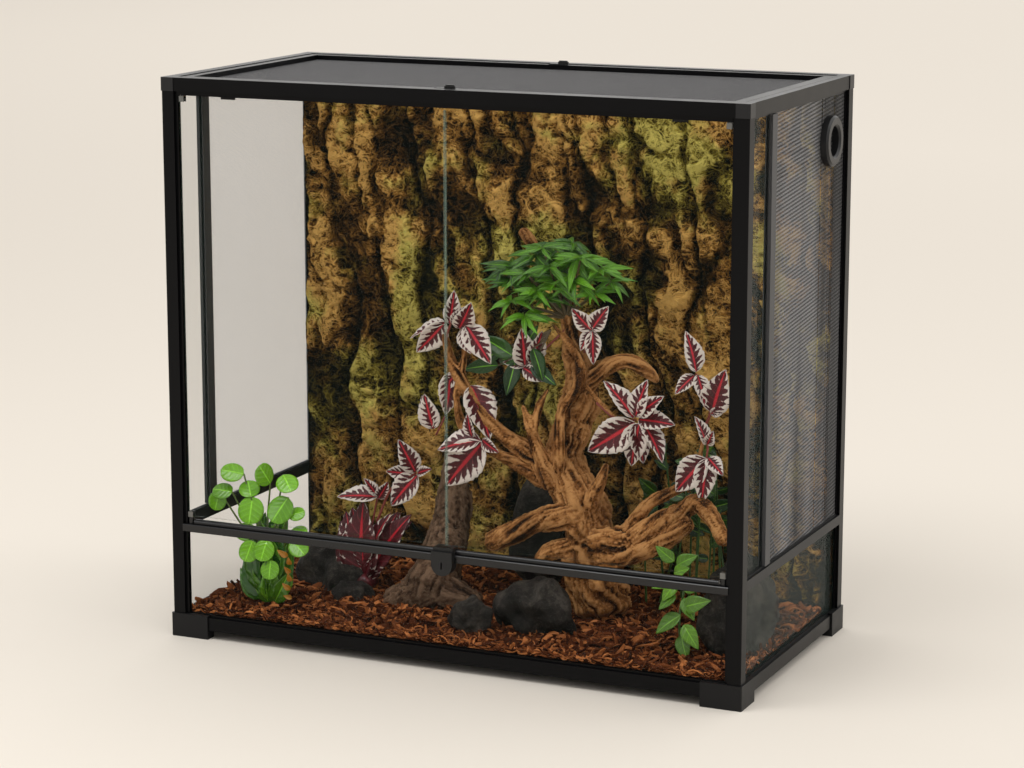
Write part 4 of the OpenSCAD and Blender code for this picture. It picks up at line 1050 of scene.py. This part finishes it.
# ---- red-leaved plants
# Sprays of red leaves, in millimetres: y of the leaves, stalk, then each leaf's foot and tip as x, z
RED_SPRAYS = [
    (-28, [(-86, -28, 424, 2), (-90, -29, 452, 2), (-82, -28, 476, 1.5)],
     [(-92, 473, -151, 457), (-92, 477, -134, 424), (-85, 474, -74, 523), (-80, 474, -58, 500),
      (-69, 468, -40, 506), (-58, 474, -11, 426), (-64, 468, -46, 436)]),
    (-24, [(-70, -24, 392, 2), (-78, -24, 400, 1.5)],
     [(-86, 399, -82, 338), (-75, 400, -95, 372), (-52, 382, -7, 313)]),
    (-42, [(-40, -34, 296, 2), (-30, -40, 300, 1.5)],
     [(-28, 304, -88, 296), (-24, 302, -85, 229), (-25, 305, 3, 290), (-41, 307, -49, 342)]),
    (-16, [(-112, -20, 300, 1.5), (-96, -22, 330, 1.5)],
     [(-122, 308, -139, 356), (-118, 308, -126, 360)]),
    (2, [(-222, -4, 150, 2), (-196, -2, 205, 2), (-156, 0, 232, 1.5)],
     [(-158, 233, -171, 284), (-158, 231, -207, 229), (-154, 229, -197, 180), (-155, 231, -131, 243)]),
    (-2, [(-240, -8, 90, 2), (-222, -2, 186, 1.5)],
     [(-222, 188, -279, 195), (-223, 190, -236, 219), (-220, 186, -201, 212)]),
    (0, [(84, 16, 470, 2), (44, 6, 430, 1.5), (24, 0, 414, 1.5)],
     [(26, 414, 31, 469), (23, 411, 61, 395), (34, 420, 58, 465), (25, 413, -7, 421)]),
    (-6, [(118, 9, 440, 2), (132, -2, 472, 1.5)],
     [(136, 477, 109, 508), (136, 478, 163, 514), (137, 476, 144, 429), (134, 477, 121, 448)]),
    (-44, [(150, -18, 372, 2.5), (190, -30, 350, 2), (222, -42, 358, 1.5)],
     [(218, 360, 181, 417), (222, 362, 236, 418), (226, 358, 281, 361), (221, 354, 151, 305),
      (228, 354, 214, 288), (232, 354, 280, 313), (226, 366, 265, 399), (220, 352, 240, 296)]),
    (-38, [(320, -30, 346, 2.5), (334, -36, 384, 2), (312, -38, 432, 1.5)],
     [(312, 435, 302, 494), (314, 431, 336, 395), (310, 430, 289, 408), (338, 378, 361, 441),
      (335, 376, 359, 385)]),
    (-44, [(320, -30, 346, 2.5), (332, -40, 330, 2), (332, -43, 312, 1.5)],
     [(332, 311, 283, 258), (332, 311, 335, 250), (334, 312, 363, 296), (331, 331, 324, 374),
      (333, 331, 346, 352)]),
]
CLUMP, CLUMP_LEAVES = (-240, -10, 44), 18


def add_red_leaves():
    rng = np.random.default_rng(21)
    leaf = leaf_form("red_leaf", toothed, 0.62, 0.35, 0.18, 0.012)
    blade = leaf_form("clump_leaf", ovate, 0.46, 0.5, 0.3, 0.01)
    parts = []
    for y, stem, leaves in RED_SPRAYS:
        parts.append(stalk(*stem))
        for x0, z0, x1, z1 in leaves:
            parts.append(set_leaf(leaf, (x0, y, z0), (x1, y - 12 + rng.uniform(-14, 10), z1),
                                  rng.uniform(0.7, 1.15), rng.uniform(0.85, 1.1), rng.normal(0, 0.5)))
    cx, cy, cz = CLUMP
    for i in range(CLUMP_LEAVES):
        c, s = cos(i * GOLDEN_TURN), sin(i * GOLDEN_TURN)
        lean = rng.uniform(20, 66)
        tip = Vector((cx + lean * c, cy + lean * 0.6 * s, cz + rng.uniform(70, 146) - lean * 0.3))
        foot = Vector((cx + 6 * c, cy + 6 * s, cz + 14))
        foot += (tip - foot) * (0.3 * (i % 3) / 2)
        parts.append(set_leaf(blade, foot, tip, rng.uniform(-0.4, 0.25), 1.25, rng.normal(0, 0.35),
                              (-0.3 * c, -1.0, 0.5)))
    root = primitive("ico_sphere", subdivisions=3, radius=0.021, location=(cx / 1000, cy / 1000, 0.056))
    root.scale = (1, 1, 0.7)
    settle(root)
    store(root, "tone", 0.0)
    finish_plant(parts + [root], (leaf, blade), "red_leaf_sprays", red_leaf_finish(),
                 "red_leaf_plants")


# ---- round-leaved plant
# Round leaves: x, y, z of the leaf's middle, its diameter, and the heading and rise of its tip
ROUND_LEAVES = [
    (-392, -150, 244, 36, 200, 12), (-335, -150, 244, 36, 250, 58), (-298, -150, 236, 36, 320, -28),
    (-404, -160, 216, 32, 190, 8), (-411, -165, 200, 30, 250, -70), (-363, -150, 221, 34, 130, 40),
    (-353, -165, 191, 42, 275, -66), (-306, -160, 196, 44, 230, -50), (-283, -150, 190, 26, 30, 20),
    (-318, -172, 104, 30, 285, -60), (-280, -150, 161, 28, 10, 12), (-376, -140, 150, 34, 180, 30),
    (-276, -158, 140, 32, 340, -30), (-330, -168, 132, 34, 265, -55), (-356, -168, 128, 34, 250, -60),
]
ROUND_FOOT = (-336, -146, 42)
BASE_LEAVES, YELLOWED_LEAVES = 26, 6


def add_round_plant():
    rng = np.random.default_rng(4)
    disc = leaf_form("round_leaf", rounded, 0.92, -0.12, 0.1, 0, 16, 8, 0.03)
    blade = leaf_form("base_leaf", ovate, 0.5, 0.5, 0.25, 0.01)
    parts = []
    x0, y0, z0 = ROUND_FOOT
    for x, y, z, size, heading, rise in ROUND_LEAVES:
        h, r = radians(heading), radians(rise)
        half = Vector((cos(h) * cos(r), sin(h) * cos(r), sin(r))) * size / 2
        mid = Vector((x, y, z))
        foot = mid - half
        parts.append(set_leaf(disc, foot, mid + half, rng.uniform(0.65, 1.0), face=(0.25, -0.6, 0.75)))
        bend = ((x0 * 2 + x) / 3, (y0 * 2 + y) / 3 + 3, z0 + (z - z0) * 0.62, 1.7)
        parts.append(stalk((x0 + 4, y0, z0 + 60, 2), bend, (*foot, 1.3)))
    for i in range(BASE_LEAVES):
        c, s = cos(i * GOLDEN_TURN), sin(i * GOLDEN_TURN)
        ring = i % 6
        lean = 16 + 5.5 * ring
        tip = (x0 + lean * c * 1.15, y0 + lean * 0.7 * s, z0 + 136 - 17 * ring)
        foot = (x0 + (6 + 2 * ring) * c, y0 + 8 * s, z0 + 30 - 5 * ring)
        parts.append(set_leaf(blade, foot, tip, rng.uniform(0, 0.6), 1.05, rng.normal(0, 0.5),
                              (c, s - 0.8, 0.6)))
    for i in range(YELLOWED_LEAVES):
        foot = (x0 + 42 + rng.uniform(-4, 4), y0 - 8, z0 + 16 + 13 * i)
        tip = (foot[0] + rng.uniform(-15, 15), y0 - 18, foot[2] + rng.uniform(4, 16))
        parts.append(set_leaf(blade, foot, tip, YELLOWED_TONE, 1.2, rng.normal(0, 0.4)))
    finish = green_leaf_finish("round_leaf_green", (0.02, 0.095, 0.008), (0.24, 0.6, 0.02),
                               (0.1, 0.15, 0.03), 0.2)
    finish_plant(parts, (disc, blade), "round_leaf_houseplant", finish, "round_leaf_plant")


# ---- foliage on the trunk
# Whorls of narrow leaves on the upper trunk: x, y, z, leaves, length, brightness; the brightness is painted
# light and shade, mostly lower for whorls further back.
WHORLS = [
    (41, 6, 580, 13, 58, 0.35), (105, 8, 578, 13, 54, 0.8), (141, 10, 566, 12, 46, 0.7),
    (4, 2, 536, 13, 50, 0.4), (78, -8, 545, 13, 50, 0.8), (30, -12, 492, 14, 46, 1.0),
    (136, 4, 530, 12, 40, 0.8), (10, 6, 562, 13, 54, 0.25), (68, 14, 592, 12, 46, 0.35),
    (58, 2, 518, 12, 42, 0.5), (106, 0, 550, 13, 48, 0.9), (-14, 10, 556, 11, 40, 0.2),
    (74, -20, 568, 12, 44, 0.6), (122, -14, 584, 12, 40, 0.7), (36, -16, 556, 12, 44, 0.5),
    (10, -14, 512, 12, 40, 0.7), (52, -18, 532, 12, 40, 0.9), (158, 12, 548, 11, 36, 0.6),
    (94, 22, 600, 12, 40, 0.3), (60, -14, 596, 11, 38, 0.5),
]
BROAD = [(-13, 0, 439, 60, 150), (-38, -4, 410, 56, 185), (51, -6, 425, 50, 300), (8, -4, 399, 52, 260),
         (54, -2, 408, 48, 330), (29, 2, 448, 52, 60), (-26, 2, 428, 52, 210), (0, 4, 424, 48, 20)]
# Where the whorls' stems leave the trunk, what they lean to, and the foliage's top
BUSH_ROOT, BUSH_BEND, BUSH_TOP = (84, 22, 488), (84, 22, 490), 611


def add_bush():
    rng = np.random.default_rng(31)
    blade = leaf_form("narrow_leaf", lance, 0.23, 0.5, 0.34, 0, 12, 4, 0.01)
    broad = leaf_form("broad_leaf", ovate, 0.5, 0.3, 0.2, 0.004, 14, 6, 0.01)
    parts = []
    for x, y, z, count, length, tone in WHORLS:
        bend = [(a + b) / 2 for a, b in zip((x, y, z), BUSH_BEND)]
        parts.append(stalk((*BUSH_ROOT, 3), (*bend, 2), (x, y, z, 1.5)))
        for i in range(count):
            turn = 2 * pi * (i + rng.uniform(-0.3, 0.3)) / count
            rise = rng.uniform(-0.55, 0.4)
            size = length * rng.uniform(0.8, 1.15)
            reach = size * cos(rise)
            tip = (x + reach * cos(turn), y + 0.8 * reach * sin(turn),
                   min(z + size * sin(rise), BUSH_TOP))
            parts.append(set_leaf(blade, (x, y, z), tip, tone * rng.uniform(0.4, 1.15), rng.uniform(0.8, 1.2),
                                  rng.normal(0, 0.3), (0.2, -0.75, 0.75)))
    for x, y, z, length, heading in BROAD:
        c, s = length * cos(radians(heading)), length * sin(radians(heading))
        foot = (x - 0.4 * c, y, z - 0.4 * s)
        parts.append(set_leaf(broad, foot, (x + 0.6 * c, y - 10, z + 0.6 * s), rng.uniform(0, 0.15), 1,
                              rng.normal(0, 0.2)))
        parts.append(stalk((64, 8, 470, 2), ((foot[0] + 64) / 2, 2, (foot[2] + 462) / 2, 1.5), (*foot, 1.2)))
    finish = green_leaf_finish("foliage_green", (0.006, 0.04, 0.006), (0.21, 0.55, 0.015),
                               (0.1, 0.07, 0.03), 0.34)
    finish_plant(parts, (blade, broad), "trunk_foliage", finish, "leaf_bush")


# ---- ground vine
# Leaves of the ground vine: foot and tip as x, y, z
VINE_LEAVES = [
    (316, -126, 176, 300, -134, 190), (320, -126, 170, 340, -134, 184), (312, -128, 150, 296, -138, 142),
    (330, -128, 140, 352, -136, 146), (322, -134, 128, 306, -142, 116), (334, -134, 112, 360, -142, 124),
    (330, -134, 100, 306, -144, 84), (334, -134, 86, 352, -144, 68), (330, -132, 70, 340, -146, 50),
    (316, -126, 158, 332, -138, 168), (320, -128, 146, 310, -140, 130), (332, -130, 124, 346, -140, 108),
]
DARK_SHOOTS = 13  # in the shade behind the driftwood, with their leaves painted dark as shade


def add_vine():
    rng = np.random.default_rng(8)
    leaf = leaf_form("vine_leaf", ovate, 0.62, 0.3, 0.2, 0, 14, 6, 0.02)
    parts = [stalk((330, -132, 42, 2), (326, -130, 96, 2), (332, -128, 140, 1.6), (322, -126, 176, 1.4))]
    for ends in VINE_LEAVES:
        foot, tip = Vector(ends[:3]), Vector(ends[3:])
        parts.append(set_leaf(leaf, foot, tip + (tip - foot) * 0.5, rng.uniform(0.45, 1.0), 1.0,
                              rng.normal(0, 0.3)))
    for i in range(DARK_SHOOTS):
        x, y, top = 196 + 11 * i, rng.uniform(70, 112), rng.uniform(190, 300)
        lean = rng.normal(0, 16)
        parts.append(stalk((x, y, 42, 2), (x + lean / 2, y - 4, top * 0.55, 1.6),
                           (x + lean, y - 10, top, 1.2)))
        for k in range(5):
            foot = Vector((x + lean * (0.4 + 0.15 * k), y - 4 - k, top * (0.6 + 0.1 * k)))
            tip = foot + Vector((rng.choice((-1, 1)) * rng.uniform(14, 34), rng.uniform(-22, 4),
                                 rng.uniform(-6, 26)))
            # low tones: these leaves are painted dark as shade
            parts.append(set_leaf(leaf, foot, tip, rng.uniform(-0.2, 0.3), 1.1, rng.normal(0, 0.5)))
    finish = green_leaf_finish("vine_green", (0.008, 0.04, 0.006), (0.17, 0.4, 0.012),
                               (0.05, 0.12, 0.02), 0.3)
    finish_plant(parts, (leaf,), "ground_vine_leaves", finish, "ground_vine")


# ---- build
add_camera()
add_floor()
add_world()
add_lights()
finish_cad()
add_screens()
add_bark()
add_driftwood()
add_stones()
add_chip_bed()
add_red_leaves()
add_round_plant()
add_bush()
add_vine()

[[list(map(float, p)) for p in box] for box in (cad_box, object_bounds())]
